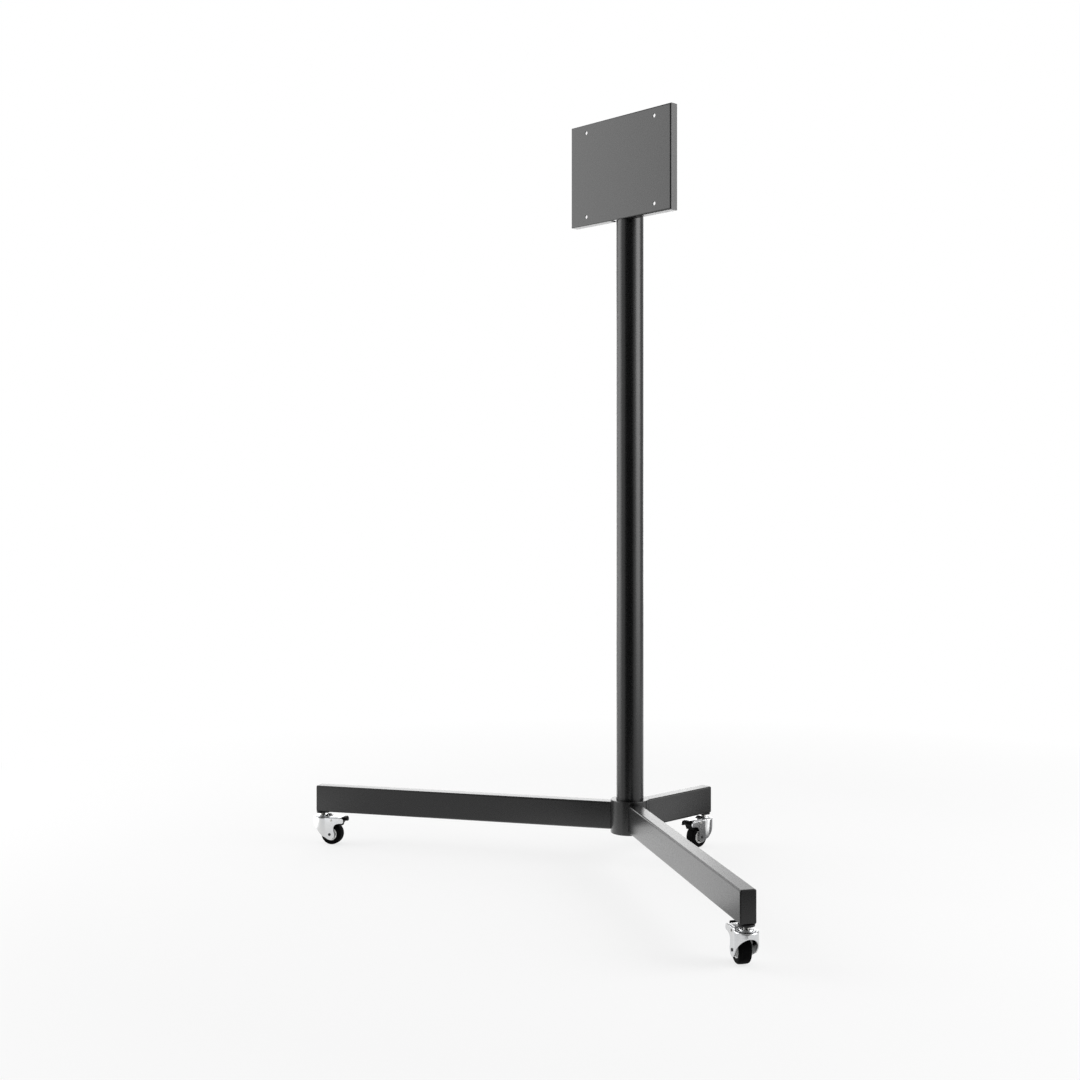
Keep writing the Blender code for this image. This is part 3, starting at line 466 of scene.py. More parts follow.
# base: hub, legs, end plates and the fasteners under the hub
def makeHub():
    hub = {"edge": 0.0015, "recessRadius": 0.034, "recessDepth": 0.012, "floor": 0.008, "bolt": 0.0063}
    low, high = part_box("base_hub")
    radius = (high.x - low.x) / 2
    bore = columnRadius + fitGap
    floorLow = low.z + hub["recessDepth"]
    floorHigh = floorLow + hub["floor"]
    edge, recess = hub["edge"], hub["recessRadius"]
    profile = [(hub["bolt"], floorLow), (recess, floorLow)]
    profile += arc((recess + edge / 2, low.z + edge / 2), edge / 2, math.pi, 3 * quarter, 4)
    profile += arc((radius - edge, low.z + edge), edge, -quarter, 0, 6)
    profile += arc((radius - edge, high.z - edge), edge, 0, quarter, 6)
    profile += arc((bore + edge / 3, high.z - edge / 3), edge / 3, quarter, math.pi, 3)
    profile += [(bore, floorHigh), (hub["bolt"], floorHigh)]
    mesh = asMesh(spun(profile, 160), "hub")
    piece("baseHub", mesh, "powder_coat", "stand", ["base_hub"], standPlace)


def legSection(inset):
    corner = 0.0035
    low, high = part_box("rear_leg")
    half = (high.x - low.x) / 2 - inset
    return roundedBox((-half, low.z + inset), (half, high.z - inset), corner - inset, 7)


def makeLegs():
    leg = {"wall": 0.002, "stemHole": 0.0043, "plateEdge": 0.002}
    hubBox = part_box("base_hub")
    low, high = (corner.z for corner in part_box("rear_leg"))
    cope = (hubBox[1].x - hubBox[0].x) / 2 + fitGap
    thickness = endPlateBox[1].y - endPlateBox[0].y
    for side in sides:
        reach = swivelReach(side) + swivelInset
        end = reach - thickness - fitGap
        stem = (swivelReach(side), 0)
        tube = carved(
            pushed(legSection(0), columnRadius, end, "YZ"),
            pushed(legSection(leg["wall"]), columnRadius - overshoot, end + overshoot, "YZ"),
            rod(cope, low - overshoot, high + overshoot, 160),
            rod(leg["stemHole"], low - overshoot, low + leg["wall"] + overshoot, 32, stem),
        )
        mesh = asMesh(tube, "leg")
        piece(side + "Leg", mesh, "powder_coat", "stand", [side + "_leg"], legPlace(side))
        cover = pushed(legSection(0), reach - thickness, reach, "YZ")
        softened(
            cover, leg["plateEdge"], 6,
            chosen=lambda edge: all(vert.co.x > reach - leg["plateEdge"] / 2 for vert in edge.verts),
        )
        mesh = asMesh(cover, "endPlate")
        piece(side + "EndPlate", mesh, "powder_coat", "stand", [side + "_end_plate"], legPlace(side))


def hexNut(acrossFlats, low, high, bore=0.0, plane="XY", centre=(0, 0)):
    # a hexagon whose corners are turned off at both faces, built ring by ring
    nut = {"steps": 72, "faceShare": 0.97, "chamfer": math.radians(30)}
    flat = acrossFlats / 2
    face = flat * nut["faceShare"]
    slope = math.tan(nut["chamfer"])
    steps = nut["steps"]
    angles = [math.tau * i / steps for i in range(steps)]
    side = [flat / math.cos(angle % (math.pi / 3) - math.pi / 6) for angle in angles]
    levels = [([face] * steps, [low] * steps)]
    levels.append((side, [low + (radius - face) * slope for radius in side]))
    levels.append((side, [high - (radius - face) * slope for radius in side]))
    levels.append(([face] * steps, [high] * steps))
    if bore:
        levels.append(([bore] * steps, [high] * steps))
        levels.append(([bore] * steps, [low] * steps))
    shape = bmesh.new()
    rings = [
        [
            shape.verts.new((radius * math.cos(angle), radius * math.sin(angle), height))
            for angle, radius, height in zip(angles, radii, heights)
        ]
        for radii, heights in levels
    ]
    pairs = list(zip(rings, rings[1:]))
    if bore:
        pairs.append((rings[-1], rings[0]))
    else:
        shape.faces.new(rings[0])
        shape.faces.new(rings[-1])
    for lower, upper in pairs:
        for i in range(steps):
            shape.faces.new((lower[i - 1], lower[i], upper[i], upper[i - 1]))
    bmesh.ops.recalc_face_normals(shape, faces=shape.faces)
    flattened(shape)
    return moved(shape, centre, plane)


def makeBaseFasteners():
    bolt = {"acrossFlats": 0.019, "headHeight": 0.0075, "shank": 0.006, "edge": 0.0003}
    low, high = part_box("base_bolt")
    head = hexNut(bolt["acrossFlats"], low.z, low.z + bolt["headHeight"])
    shank = rod(bolt["shank"], low.z + bolt["headHeight"] / 2, high.z, 48)
    mesh = asMesh(merged(head, shank), "bolt")
    piece("baseBolt", mesh, "fastener_steel", "stand", ["base_bolt"], standPlace)
    low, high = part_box("base_washer")
    inner = bolt["shank"] + fitGap
    profile = tubeSection(inner, (high.x - low.x) / 2, low.z, high.z, bolt["edge"])
    mesh = asMesh(spun(profile, 64), "washer")
    piece("baseWasher", mesh, "fastener_steel", "stand", ["base_washer"], standPlace)
    low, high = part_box("column_foot_plug")
    outer = (high.x - low.x) / 2
    profile = [(inner, low.z), (outer, low.z), (outer, high.z), (inner, high.z)]
    mesh = asMesh(spun(profile, 96), "plug")
    piece("columnFootPlug", mesh, "fastener_steel", "stand", ["column_foot_plug"], standPlace)


def makeColumn():
    column = {"wall": 0.002, "edge": 0.0004, "capEdge": 0.0012, "spigot": 0.012}
    low, high = columnBox
    inner = columnRadius - column["wall"]
    edge = column["edge"]
    mesh = asMesh(spun(tubeSection(inner, columnRadius, low.z, high.z, edge), 160), "column")
    piece("column", mesh, "powder_coat", "stand", ["column"], standPlace)
    low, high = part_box("column_cap")
    lid = low.z + column["spigot"]
    plug = inner - fitGap
    profile = [(0, low.z), (plug - edge, low.z), (plug, low.z + edge), (plug, lid)]
    profile += [(columnRadius - edge, lid), (columnRadius, lid + edge)]
    capEdge = column["capEdge"]
    profile += arc((columnRadius - capEdge, high.z - capEdge), capEdge, 0, quarter, 6)
    profile += [(0, high.z)]
    mesh = asMesh(spun(profile, 128, closed=False), "cap")
    piece("columnCap", mesh, "black_plastic", "stand", ["column_cap"], standPlace)


makeHub()
makeLegs()
makeBaseFasteners()
makeColumn()
print("base and column made")


# head: the folded plate and what clamps it to the column
def trayBlock(inset, front, back, bend, segments):
    cornerWeld = 0.0008  # the flanges meet in a ground weld at each corner
    low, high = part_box("mount_plate")
    middle = (front + back) / 2
    outline = rectangle((low.x + inset, low.z + inset), (high.x - inset, high.z - inset))
    shape = pushed(outline, front, back, "XZ")
    softened(shape, bend, segments, chosen=lambda edge: all(vert.co.y < middle for vert in edge.verts))
    softened(
        shape, cornerWeld, 3,
        chosen=lambda edge: abs(edge.verts[0].co.y - edge.verts[1].co.y) > overshoot,
    )
    return shape


def threadedEnd(radius, low, high, centre, plane):
    thread = {"pitch": 0.00125, "depth": 0.0006}
    root = radius - thread["depth"]
    profile = [(0, low), (root, low)]
    for i in range(int((high - low) / thread["pitch"])):
        profile += [(radius, low + (i + 0.5) * thread["pitch"])]
        profile += [(root, low + (i + 1) * thread["pitch"])]
    profile += [(root, high), (0, high)]
    return moved(spun(profile, 32, closed=False), centre, plane)


def makeMountPlate():
    plate = {
        "sheet": 0.003, "bend": 0.0035, "holeRadius": 0.00425, "holesX": 0.2085, "holesZ": 0.1874,
        "notchGap": 0.0006, "studRadius": 0.004, "edge": 0.00035, "studLength": 0.0151,
    }
    low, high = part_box("mount_plate")
    front = low.y
    sheetBack = front + plate["sheet"]
    middle = (low.z + high.z) / 2
    tray = trayBlock(0, front, high.y, plate["bend"], 8)
    hollow = trayBlock(plate["sheet"], sheetBack, high.y + overshoot, plate["bend"] - plate["sheet"], 3)
    half = columnRadius + plate["notchGap"]
    outline = rectangle((-half, low.z - overshoot), (half, low.z + plate["sheet"] + overshoot))
    notch = pushed(outline, sheetBack - fitGap, high.y + overshoot, "XZ")
    tray = carved(tray, hollow, notch)
    for x in (-plate["holesX"] / 2, plate["holesX"] / 2):
        for z in (-plate["holesZ"] / 2, plate["holesZ"] / 2):
            centre = (x, middle + z)
            hole = rod(plate["holeRadius"], front - overshoot, sheetBack + overshoot, 48, centre, "XZ")
            tray = carved(tray, hole)
    softened(tray, plate["edge"], 2, sharperThan=63)  # some edges lie at 60 and stay sharp
    piece("mountPlate", asMesh(tray, "plate"), "powder_coat", "stand", ["mount_plate"])
    studEnd = sheetBack + plate["studLength"] - fitGap
    bore = plate["studRadius"] + fitGap
    for level in ("upper", "lower"):
        for side in ("left", "right"):
            node = level + "_" + side + "_saddle_nut"
            name = level + side.capitalize()
            low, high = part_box(node)
            centre = ((low.x + high.x) / 2, (low.z + high.z) / 2)
            stud = asMesh(threadedEnd(plate["studRadius"], sheetBack, studEnd, centre, "XZ"), "stud")
            piece(name + "Stud", stud, "fastener_steel", "stand", ["mount_plate"])
            nut = asMesh(hexNut(high.z - low.z, low.y, high.y, bore, "XZ", centre), "nut")
            piece(name + "SaddleNut", nut, "fastener_steel", "stand", [node])


def makeSaddles():
    saddle = {"sheet": 0.003, "bend": 0.0022, "holeRadius": 0.0043, "edge": 0.0004}
    inner = columnRadius + fitGap
    outer = inner + saddle["sheet"]
    for level in ("upper", "lower"):
        low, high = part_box(level + "_saddle")
        end = high.x
        tabFront = low.y - columnAxis.y
        tabBack = tabFront + saddle["sheet"]
        bend = saddle["bend"]
        outline = [(end, tabFront), (end, tabBack)]
        outline += arc((outer + bend, tabBack + bend), bend, 3 * quarter, math.pi, 5)
        outline += arc((0, 0), outer, 0, math.pi, 64)
        outline += arc((-outer - bend, tabBack + bend), bend, 0, -quarter, 5)
        outline += [(-end, tabBack), (-end, tabFront), (-inner, tabFront)]
        outline += arc((0, 0), inner, math.pi, 0, 64)
        outline += [(inner, tabFront)]
        strap = pushed(outline, low.z, high.z)
        middle = (low.z + high.z) / 2
        for side in ("left", "right"):
            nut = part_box(level + "_" + side + "_saddle_nut")
            centre = ((nut[0].x + nut[1].x) / 2, middle)
            hole = rod(saddle["holeRadius"], tabFront - overshoot, tabBack + overshoot, 32, centre, "XZ")
            strap = carved(strap, hole)
        softened(strap, saddle["edge"], 2, sharperThan=60)
        mesh = asMesh(strap, "saddle")
        piece(level + "Saddle", mesh, "powder_coat", "stand", [level + "_saddle"], standPlace)


makeMountPlate()
makeSaddles()
print("head made")


# castor: each piece is drawn once, then copied under the three legs
forkSizes = {
    "sheet": 0.002, "topRound": 0.0025, "endRadius": 0.012, "lip": 0.008,
    "toeAhead": 0.0178, "toeDrop": 0.003,
    "notchBack": 0.0095, "notchRise": 0.0135, "earDepth": 0.011, "earDrop": 0.0015,
    "earCorner": 0.004, "halfWidth": 0.0175, "edge": 0.0003,
}
castorHoles = {"stem": 0.0043, "axle": 0.0028, "pin": 0.0023}
forkBox = castorBox("fork")
forkTop = forkBox[1].z
forkRadius = -forkBox[0].x


def forkPlan(inset, rear):
    radius = forkRadius - inset
    half = forkSizes["halfWidth"] - inset
    fold = math.asin(half / radius)
    return [(rear, -half)] + arc((0, 0), radius, -fold, fold - math.tau, 72) + [(rear, half)]


def forkSide():
    sizes = forkSizes
    axle = (trail, axleHeight)
    front = -forkRadius - overshoot
    above = forkTop + overshoot
    earEnd = forkBox[1].x
    earTop = forkTop - sizes["earDrop"]
    earBottom = earTop - sizes["earDepth"]
    corner = sizes["earCorner"]
    notch = (trail + sizes["notchBack"], axleHeight + sizes["notchRise"])
    lip = forkTop - sizes["lip"]
    outline = [(front, above), (front, lip), (-forkRadius, lip)]
    outline += [(trail - sizes["toeAhead"], axleHeight - sizes["toeDrop"])]
    # the edge runs from the toe straight into the round end
    start = math.atan2(-sizes["toeDrop"], -sizes["toeAhead"])
    start += math.acos(sizes["endRadius"] / math.hypot(sizes["toeDrop"], sizes["toeAhead"]))
    outline += arc(axle, sizes["endRadius"], start, math.pi / 6, 20)
    outline += sweep(notch, (notch[0], earBottom), (earEnd - corner, earBottom), 14)
    outline += arc((earEnd - corner, earBottom + corner), corner, -quarter, 0, 8)[1:]
    outline += arc((earEnd - corner, earTop - corner), corner, 0, quarter, 8)
    outline += [(forkRadius, earTop), (forkRadius, above)]
    return outline


def makeFork():
    sizes = forkSizes
    rear = forkBox[1].x + overshoot
    innerHalf = sizes["halfWidth"] - sizes["sheet"]
    reach = forkRadius + overshoot
    shell = pushed(forkPlan(0, rear), 0, forkTop)
    softened(
        shell, sizes["topRound"], 6,
        chosen=lambda edge: all(vert.co.z > forkTop / 2 for vert in edge.verts),
    )
    outline = rectangle((forkRadius - hair, hair - innerHalf), (rear + 2 * overshoot, innerHalf - hair))
    slot = pushed(outline, axleHeight, forkTop + overshoot)
    inside = pushed(forkPlan(sizes["sheet"], rear + overshoot), -overshoot, forkTop - sizes["sheet"])
    shell = carved(shell, inside, slot)
    shell = combined(shell, pushed(forkSide(), -reach, reach, "XZ"), "INTERSECT")
    shell = carved(
        shell,
        rod(castorHoles["stem"], forkTop - 2 * sizes["sheet"], forkTop + overshoot, 40),
        rod(castorHoles["axle"], -reach, reach, 32, (trail, axleHeight), "XZ"),
        rod(castorHoles["pin"], -reach, reach, 32, (pivotReach, pivotHeight), "XZ"),
    )
    return softened(shell, sizes["edge"], 2, sharperThan=50)


def makeHeadedPin(node):
    # a riveted pin whose shallow domed heads stand outside the fork's cheeks
    pins = {
        "axle": {"hole": "axle", "head": 0.001, "dimple": 0.0014},
        "lever_pin": {"hole": "pin", "head": 0.0006, "dimple": 0.0004},
    }
    dome = {"rim": 0.35, "dimpleFloor": 0.7, "dimpleSide": 0.4, "dimpleDepth": 0.5}
    low, high = castorBox(node)
    radius = castorHoles[pins[node]["hole"]] - fitGap
    head = pins[node]["head"]
    dimple = pins[node]["dimple"]
    headRadius = (high.z - low.z) / 2
    start = high.y - head
    rim = start + head * dome["rim"]
    turn = head * (1 - dome["rim"])
    half = [(radius, start), (headRadius, start), (headRadius, rim)]
    half += arc((headRadius - turn, rim), turn, 0, quarter, 4)[1:]
    half += [(dimple, high.y), (dimple * dome["dimpleFloor"], high.y - head * dome["dimpleSide"])]
    half += [(0, high.y - head * dome["dimpleDepth"])]
    return spun([(r, -y) for r, y in reversed(half)] + half, 40, "Y", closed=False)


def makeBush():
    edge = 0.0002
    low, high = castorBox("wheel_bush")
    outer = (high.z - low.z) / 2
    half = [(castorHoles["axle"], high.y), (outer - edge, high.y), (outer, high.y - edge)]
    return spun(mirrored(half), 40, "Y")


def makeRim():
    rim = {
        "bore": 0.0048, "hubRadius": 0.0085, "hubHalf": 0.0145, "web": 0.005, "ringWall": 0.0028,
        "stepIn": 0.0006, "seat": 0.0147, "keyHeight": 0.0015, "keyHalf": 0.003, "fillet": 0.0012,
        "edge": 0.0005,
    }
    ringHalf = castorBox("tyre")[1].y - rim["stepIn"]
    well = rim["seat"] - rim["ringWall"]
    edge = rim["edge"]
    fillet = rim["fillet"]
    webHalf = rim["web"] / 2
    half = [(rim["bore"], rim["hubHalf"]), (rim["hubRadius"] - edge, rim["hubHalf"])]
    half += [(rim["hubRadius"], rim["hubHalf"] - edge)]
    half += arc((rim["hubRadius"] + fillet, webHalf + fillet), fillet, math.pi, 3 * quarter, 5)
    half += arc((well - fillet, webHalf + fillet), fillet, -quarter, 0, 5)
    half += [(well, ringHalf - edge), (well + edge, ringHalf), (rim["seat"] - edge / 2, ringHalf)]
    half += [(rim["seat"], ringHalf - edge / 2), (rim["seat"], rim["keyHalf"])]
    half += [(rim["seat"] + rim["keyHeight"], rim["keyHalf"])]
    return spun(mirrored(half), 96, "Y")


def makeTyre():
    tyre = {
        "thickness": 0.010, "shoulder": 0.0042, "sideSlope": 0.0010, "grooveHalf": 0.0033,
        "grooveDepth": 0.0015, "stepIn": 0.0006, "crown": 0.00035, "lip": 0.0005, "flatHalf": 0.0008,
        "shoulderStart": 0.06, "crownShare": 0.3, "crownAt": 0.35,
    }
    low, high = castorBox("tyre")
    radius = (high.z - low.z) / 2
    halfWidth = high.y
    inner = radius - tyre["thickness"]
    shoulder = tyre["shoulder"]
    half = [(inner + tyre["grooveDepth"], tyre["grooveHalf"]), (inner, tyre["grooveHalf"])]
    half += [(inner, halfWidth - tyre["stepIn"])]
    half += [(inner + tyre["lip"], halfWidth - tyre["lip"]), (inner + tyre["sideSlope"], halfWidth)]
    centre = (radius - tyre["crown"] - shoulder, halfWidth - shoulder)
    half += reversed(arc(centre, shoulder, tyre["shoulderStart"], quarter, 9))
    half += [(radius - tyre["crown"] * tyre["crownShare"], halfWidth * tyre["crownAt"])]
    half += [(radius, tyre["flatHalf"])]
    return spun(mirrored(half), 128, "Y")


def makeBalls():
    balls = {"count": 16, "radius": 0.00095, "inset": 0.001}
    low, high = castorBox("ball_ring")
    circle = high.y - balls["inset"]
    middle = (low.z + high.z) / 2
    shape = bmesh.new()
    for i in range(balls["count"]):
        angle = math.tau * i / balls["count"]
        where = Matrix.Translation((circle * math.cos(angle), circle * math.sin(angle), middle))
        bmesh.ops.create_uvsphere(
            shape, u_segments=16, v_segments=10, radius=balls["radius"], matrix=where
        )
    return shape


def makeRace():
    race = {
        "sheet": 0.001, "channelIn": 0.0092, "channelOut": 0.0118, "roll": 0.0004,
        "foot": 0.0022, "neck": 0.0009, "shoulder": 0.0008, "shoulderIn": 0.0001,
    }
    low, high = castorBox("upper_race")
    sheet, roll, channel = race["sheet"], race["roll"], race["channelOut"]
    rim = high.y - roll
    ceiling = high.z - sheet
    profile = [(castorHoles["stem"], low.z), (race["channelIn"], low.z), (race["channelIn"], ceiling)]
    profile += [(channel, ceiling), (channel, low.z), (rim, low.z)]
    profile += arc((rim, low.z + roll), roll, -quarter, quarter, 6)[1:]
    flange = low.z + sheet
    profile += sweep(
        (channel + race["foot"], flange), (channel + sheet, flange), (channel + race["neck"], ceiling), 5
    )
    shoulder = race["shoulder"]
    profile += arc((channel + race["shoulderIn"], high.z - shoulder), shoulder, 0, quarter, 5)
    profile += [(castorHoles["stem"], high.z)]
    return spun(profile, 96)


def makeStem():
    stem = {
        "radius": 0.004, "collar": 0.0055, "collarHeight": 0.0015, "head": 0.0053,
        "acrossFlats": 0.013, "edge": 0.0002, "endChamfer": 0.0006,
    }
    low, high = castorBox("stem")
    radius, collar, edge, chamfer = stem["radius"], stem["collar"], stem["edge"], stem["endChamfer"]
    inHead = low.z + stem["head"] / 2
    collarLow = castorBox("upper_race")[1].z + fitGap
    collarTop = collarLow + stem["collarHeight"]
    head = hexNut(stem["acrossFlats"], low.z, low.z + stem["head"])
    profile = [(0, inHead), (radius, inHead)]
    profile += tubeSection(radius, collar, collarLow, collarTop, edge)
    profile += [(radius, high.z - chamfer), (radius - chamfer, high.z), (0, high.z)]
    return merged(head, spun(profile, 48, closed=False))


def makeStemNut():
    acrossFlats = 0.013
    low, high = castorBox("stem_nut")
    return hexNut(acrossFlats, low.z, high.z, castorHoles["stem"])


def makeLockDisc():
    edge = 0.0007
    low, high = castorBox("lock_disc")
    outer = high.y - edge
    profile = [(castorHoles["stem"], low.z)]
    profile += arc((outer, low.z + edge), edge, -quarter, 0, 4)
    profile += arc((outer, high.z - edge), edge, 0, quarter, 4)
    profile += [(castorHoles["stem"], high.z)]
    return spun(profile, 96)


leverSizes = {
    "sheet": 0.0016, "sideGap": 0.001, "bendBack": 0.012, "rearBack": 0.021, "rearDrop": 0.002,
    "cheek": 0.005, "edge": 0.00035, "fold": 0.0014, "frontGap": 0.001,
}


def leverTopLine(drop=0.0):
    sizes = leverSizes
    top = forkTop + fitGap + sizes["sheet"] - drop
    return (
        (castorBox("upper_race")[1].y + sizes["frontGap"], top),
        (pivotReach + sizes["bendBack"], top),
        (pivotReach + sizes["rearBack"], top - sizes["rearDrop"]),
    )


def pinHole():
    return rod(castorHoles["pin"], -forkRadius, forkRadius, 32, (pivotReach, pivotHeight), "XZ")


def makeLever():
    sizes = leverSizes
    half = forkSizes["halfWidth"] - forkSizes["sheet"] - sizes["sideGap"]
    front, bend, rear = leverTopLine()
    under = forkTop + fitGap
    cheekFront = forkRadius + 2 * fitGap
    outline = [front, bend, rear, (rear[0], rear[1] - 2 * sizes["sheet"])]
    outline += arc((pivotReach, pivotHeight), sizes["cheek"], -math.pi / 6, -math.pi, 14)
    outline += [(cheekFront, under), (front[0], under)]
    pan = pushed(outline, -half, half, "XZ")
    softened(  # the sheet folds down on both sides
        pan, sizes["fold"], 5,
        chosen=lambda edge: all(vert.co.z > rear[1] - fitGap for vert in edge.verts)
        and abs(edge.verts[0].co.y - edge.verts[1].co.y) < fitGap,
    )
    inner = leverTopLine(sizes["sheet"])
    panFront = cheekFront + sizes["sheet"]
    below = pivotHeight - 2 * sizes["cheek"]
    slope = sizes["rearDrop"] / (rear[0] - bend[0])
    hollow = [(panFront, inner[0][1]), inner[1]]
    hollow += [(inner[2][0] + overshoot, inner[2][1] - overshoot * slope)]
    hollow += [(inner[2][0] + overshoot, below), (panFront, below)]
    pan = carved(pan, pushed(hollow, sizes["sheet"] - half, half - sizes["sheet"], "XZ"), pinHole())
    return softened(pan, sizes["edge"], 2, sharperThan=50)


def makeTongue():
    # the lock tongue slopes up from the lever's front edge and reaches over the race
    tongue = {
        "half": 0.006, "reach": 0.011, "edge": 0.0003, "slopeTop": -0.0012, "slopeFoot": 0.0026,
        "footRise": 0.0009, "footEnd": 0.0075, "underFoot": 0.0006, "underTop": -0.0014,
    }
    sheet = leverSizes["sheet"]
    top = castorBox("brake_lever")[1].z
    front = leverTopLine()[0][0]
    low = forkTop + fitGap + sheet
    high = low + tongue["footRise"]
    outline = [(tongue["reach"], top), (front + tongue["slopeTop"], top)]
    outline += [(front + tongue["slopeFoot"], high), (front + tongue["footEnd"], high)]
    outline += [(front + tongue["footEnd"], low), (front + tongue["underFoot"], low)]
    outline += [(front + tongue["underTop"], top - sheet), (tongue["reach"], top - sheet)]
    return softened(
        pushed(outline, -tongue["half"], tongue["half"], "XZ"), tongue["edge"], 2, sharperThan=25
    )


pedalSizes = {
    "sideGap": 0.0012, "reach": 0.0345, "tipRise": 0.0035, "tipRadius": 0.0042, "waistBack": 0.022,
    "waistDrop": 0.001, "shoeStart": math.radians(60), "shoeEnd": math.radians(38), "edge": 0.0012,
}


def shoeFace():
    # it lies along the tyre when the brake is on, so it is drawn turned back to off
    travel = next(joint for joint in frame["joints"] if joint["name"] == "rear_brake_press")
    travel = math.radians(travel["range_deg"][1])
    radius = axleHeight + fitGap
    points = []
    for x, z in arc((trail, axleHeight), radius, pedalSizes["shoeEnd"], pedalSizes["shoeStart"], 12):
        across, up = x - pivotReach, z - pivotHeight
        points.append((
            pivotReach + across * math.cos(travel) - up * math.sin(travel),
            pivotHeight + across * math.sin(travel) + up * math.cos(travel),
        ))
    return points


def makePedal():
    sizes = pedalSizes
    half = forkSizes["halfWidth"] - forkSizes["sheet"] - leverSizes["sideGap"]
    half = half - leverSizes["sheet"] - sizes["sideGap"]
    front, bend, rear = leverTopLine(leverSizes["sheet"] + fitGap)
    face = shoeFace()
    tip = (pivotReach + sizes["reach"] - sizes["tipRadius"], pivotHeight + sizes["tipRise"])
    waist = (pivotReach + sizes["waistBack"], pivotHeight - sizes["waistDrop"])
    bodyFront = forkRadius + leverSizes["sheet"] + 4 * fitGap
    step = rear[0] + fitGap
    outline = [(bodyFront, front[1]), bend, (step, rear[1]), (step, rear[1] + leverSizes["sheet"])]
    outline += arc(tip, sizes["tipRadius"], 2 * math.pi / 3, -math.pi / 4, 12)
    outline += sweep(outline[-1], waist, face[0], 12)[1:]
    outline += face[1:]
    outline += [(bodyFront, pivotHeight - leverSizes["cheek"])]
    body = pushed(outline, -half, half, "XZ")
    end = pivotReach + sizes["reach"]
    plan = [(0, -half - overshoot), (0, half + overshoot), (end - half, half + overshoot)]
    plan += arc((end - half, 0), half + hair, quarter, -quarter, 28)
    plan += [(end - half, -half - overshoot)]
    body = combined(body, pushed(plan, 0, 2 * forkTop), "INTERSECT")
    return carved(softened(body, sizes["edge"], 4, sharperThan=50), pinHole())


def onAxle(shape):
    bmesh.ops.translate(shape, vec=(trail, 0, axleHeight), verts=shape.verts)
    return shape


def onPivot(shape):
    bmesh.ops.translate(shape, vec=(pivotReach, 0, pivotHeight), verts=shape.verts)
    return shape


def makeCastors():
    steel = "fastener_steel"
    parts = (
        ("Fork", makeFork(), "zinc_plate", "castor", "fork"),
        ("Balls", makeBalls(), steel, "castor", "ball_ring"),
        ("UpperRace", makeRace(), "zinc_plate", "stand", "upper_race"),
        ("Stem", makeStem(), steel, "stand", "stem"),
        ("StemNut", makeStemNut(), steel, "stand", "stem_nut"),
        ("LockDisc", makeLockDisc(), "black_steel", "stand", "lock_disc"),
        ("WheelBush", onAxle(makeBush()), steel, "castor", "wheel_bush"),
        ("Axle", onAxle(makeHeadedPin("axle")), "black_steel", "castor", "axle"),
        ("Rim", onAxle(makeRim()), "white_plastic", "wheel", "rim"),
        ("Tyre", onAxle(makeTyre()), "tyre_rubber", "wheel", "tyre"),
        ("BrakeLever", makeLever(), "zinc_plate", "brake", "brake_lever"),
        ("LockTongue", makeTongue(), "black_steel", "brake", "brake_lever"),
        ("BrakePedal", makePedal(), "black_plastic", "brake", "brake_pedal"),
        ("LeverPin", onPivot(makeHeadedPin("lever_pin")), steel, "castor", "lever_pin"),
    )
    for name, shape, slot, group, node in parts:
        mesh = asMesh(shape, name)
        for side in sides:
            body = "stand" if group == "stand" else side + "_" + group
            piece(side + name, mesh, slot, body, [side + "_" + node], castorPlace(side))


makeCastors()
print("castors made")


# studio, laid out round the column: an angle is what someone there turns right from the camera
cameraAzimuth = math.radians(45)


def around(angle, distance, height):
    turn = cameraAzimuth + math.radians(angle)
    return Vector((
        columnAxis.x + distance * math.sin(turn), columnAxis.y - distance * math.cos(turn), height
    ))


def makeSoftboxes():
    keys = ("angle", "distance", "height", "width", "tall", "radiance")
    softboxes = {
        "left": (-98, 2.7, 1.6, 1.9, 3.1, 2.5),
        "right": (73, 2.6, 1.95, 1.9, 1.7, 4.6),
        "rightMiddle": (73, 2.6, 0.80, 1.9, 0.6, 3.2),
        "rightLow": (73, 2.6, 0.265, 1.9, 0.47, 1.9),
        "back": (204, 4.5, 1.45, 5.0, 2.4, 1.95),
        "backRight": (166, 4.9, 0.68, 1.8, 0.86, 1.5),
        "backRightHigh": (166, 4.9, 1.88, 1.8, 1.54, 0.4),
    }
    for name, row in softboxes.items():
        box = dict(zip(keys, row))
        light = bpy.data.lights.new(name + "Softbox", "AREA")
        light.shape = "RECTANGLE"
        light.size = box["width"]
        light.size_y = box["tall"]
        light.energy = box["radiance"] * math.pi * box["width"] * box["tall"]
        item = added(name + "Softbox", light)
        item.location = around(box["angle"], box["distance"], box["height"])
        aim = around(0, 0, box["height"]) - item.location
        item.rotation_euler = aim.to_track_quat("-Z", "Y").to_euler()
        item.visible_camera = False


def seenRays(nodes, links):
    # 1 for rays from the camera, off gloss and through glass
    paths = nodes.new("ShaderNodeLightPath")
    total = paths.outputs["Is Camera Ray"]
    for name in ("Is Glossy Ray", "Is Transmission Ray"):
        either = nodes.new("ShaderNodeMath")
        either.operation = "MAXIMUM"
        links.new(total, either.inputs[0])
        links.new(paths.outputs[name], either.inputs[1])
        total = either.outputs["Value"]
    return total


def makeWorld():
    world = bpy.data.worlds.new("studio")
    bpy.context.scene.world = world
    world.use_nodes = True
    nodes, links = world.node_tree.nodes, world.node_tree.links
    background = nodes["Background"]
    background.inputs["Color"].default_value = (1, 1, 1, 1)
    links.new(ranged(nodes, links, seenRays(nodes, links), 0.5, 1, 0, 1), background.inputs["Strength"])


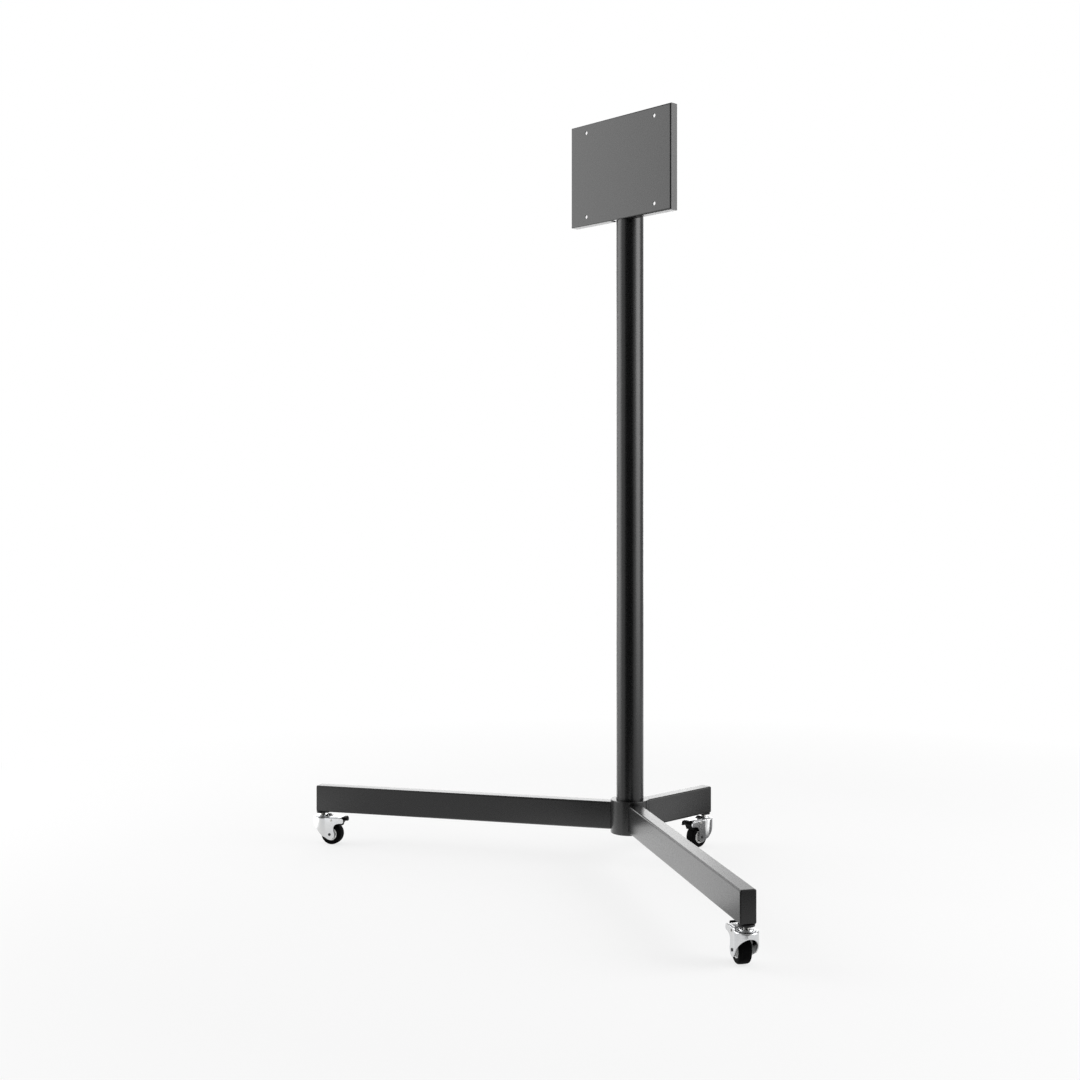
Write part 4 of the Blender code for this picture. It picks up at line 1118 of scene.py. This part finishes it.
def makeFloor():
    floor = {
        "radius": 30, "colour": (0.86, 0.86, 0.86), "dull": 0.8,
        "glow": 0.72, "fadeStart": 1.1, "fadeEnd": 2.2,
    }
    shape = bmesh.new()
    bmesh.ops.create_circle(shape, cap_ends=True, segments=96, radius=floor["radius"])
    mesh = asMesh(shape, "floor")
    item = added("floor", mesh)
    material = bpy.data.materials.new("paleFloor")
    material.use_nodes = True
    nodes, links = material.node_tree.nodes, material.node_tree.links
    shader = nodes["Principled BSDF"]
    shader.inputs["Base Color"].default_value = (*floor["colour"], 1)
    shader.inputs["Roughness"].default_value = floor["dull"]
    shader.inputs["Specular IOR Level"].default_value = 0
    glow = nodes.new("ShaderNodeEmission")
    glow.inputs["Color"].default_value = (1, 1, 1, 1)
    # the floor turns into the white background a little way from the stand
    far = nodes.new("ShaderNodeVectorMath")
    far.operation = "LENGTH"
    links.new(nodes.new("ShaderNodeTexCoord").outputs["Object"], far.inputs[0])
    fade = (floor["fadeStart"], floor["fadeEnd"])
    amount = ranged(nodes, links, far.outputs["Value"], floor["glow"], 1, *fade)
    seen = nodes.new("ShaderNodeMath")
    seen.operation = "MULTIPLY"
    links.new(amount, seen.inputs[0])
    links.new(seenRays(nodes, links), seen.inputs[1])
    mix = nodes.new("ShaderNodeMixShader")
    links.new(seen.outputs["Value"], mix.inputs["Fac"])
    links.new(shader.outputs["BSDF"], mix.inputs[1])
    links.new(glow.outputs["Emission"], mix.inputs[2])
    links.new(mix.outputs["Shader"], nodes["Material Output"].inputs["Surface"])
    mesh.materials.append(material)


def makeCards():
    # cards that only the gloss of the coat and the zinc sees: dark flags and pale reflectors
    keys = ("from", "to", "near", "far", "low", "top", "glow")
    cards = {
        "frontFlag": (-42, -6, 0.4, 4.4, 0.003, 3.6, 0.03),
        "middleFlag": (-6, 14, 0.95, 4.4, 0.003, 3.6, 0.01),
        "endFlag": (14, 30, 1.15, 4.4, 0.003, 3.6, 0.01),
        "rightFlag": (104, 150, 3, 4.4, 0.003, 3.6, 0.5),
        "leftFlag": (-160, -122, 3, 4.4, 0.003, 3.6, 0.92),
        "topFlag": (-180, 180, 0.01, 3.2, 3.7, 3.701, 0.3),
        "castorFlag": (103, 125, 0.17, 1.1, 0.003, 0.004, 0.13),
        "rearReflector": (90, 105, 0.3, 0.85, 0.003, 0.004, 1.9),
        "hubReflector": (-85, 13, 0.05, 0.41, 0.003, 0.004, 1.8),
        "sideReflector": (-168, -85, 0.05, 0.52, 0.003, 0.004, 1.8),
        "edgeReflector": (-168, -140, 0.52, 4.35, 0.003, 1.8, 2.8),
        "leftReflector": (-117, -79, 0.9, 2.65, 0.003, 0.004, 2.1),
    }
    steps = 24
    for name, values in cards.items():
        card = dict(zip(keys, values))
        shape = bmesh.new()
        rows = []
        for away, height in (("near", "low"), ("far", "low"), ("far", "top")):
            row = []
            for i in range(steps + 1):
                angle = card["from"] + (card["to"] - card["from"]) * i / steps
                row.append(shape.verts.new(around(angle, card[away], card[height])))
            rows.append(row)
        for low, high in zip(rows, rows[1:]):
            for i in range(steps):
                shape.faces.new((low[i], low[i + 1], high[i + 1], high[i]))
        mesh = asMesh(shape, name)
        material = bpy.data.materials.new(name)
        material.use_nodes = True
        nodes = material.node_tree.nodes
        glow = nodes.new("ShaderNodeEmission")
        glow.inputs["Strength"].default_value = card["glow"]
        material.node_tree.links.new(glow.outputs["Emission"], nodes["Material Output"].inputs["Surface"])
        mesh.materials.append(material)
        item = added(name, mesh)
        item.visible_camera = False
        item.visible_diffuse = False
        item.visible_shadow = False


def makeCamera():
    view = {
        "ahead": 3.1786, "aside": -0.0349, "height": 0.7943,
        "focalLength": 48.2027, "sensor": 36, "shiftX": -0.0685, "shiftY": -0.0351,
    }
    camera = bpy.data.cameras.new("camera")
    camera.lens = view["focalLength"]
    camera.sensor_width = view["sensor"]
    camera.shift_x = view["shiftX"]
    camera.shift_y = view["shiftY"]
    camera.clip_end = 100
    item = added("camera", camera)
    aside = around(90, view["aside"], 0) - around(0, 0, 0)
    item.location = around(0, view["ahead"], view["height"]) + aside
    item.rotation_euler = (quarter, 0, cameraAzimuth)
    bpy.context.scene.camera = item


makeWorld()
makeFloor()
makeCards()
makeSoftboxes()
makeCamera()
bpy.context.scene.view_settings.view_transform = "Standard"
print("studio made")
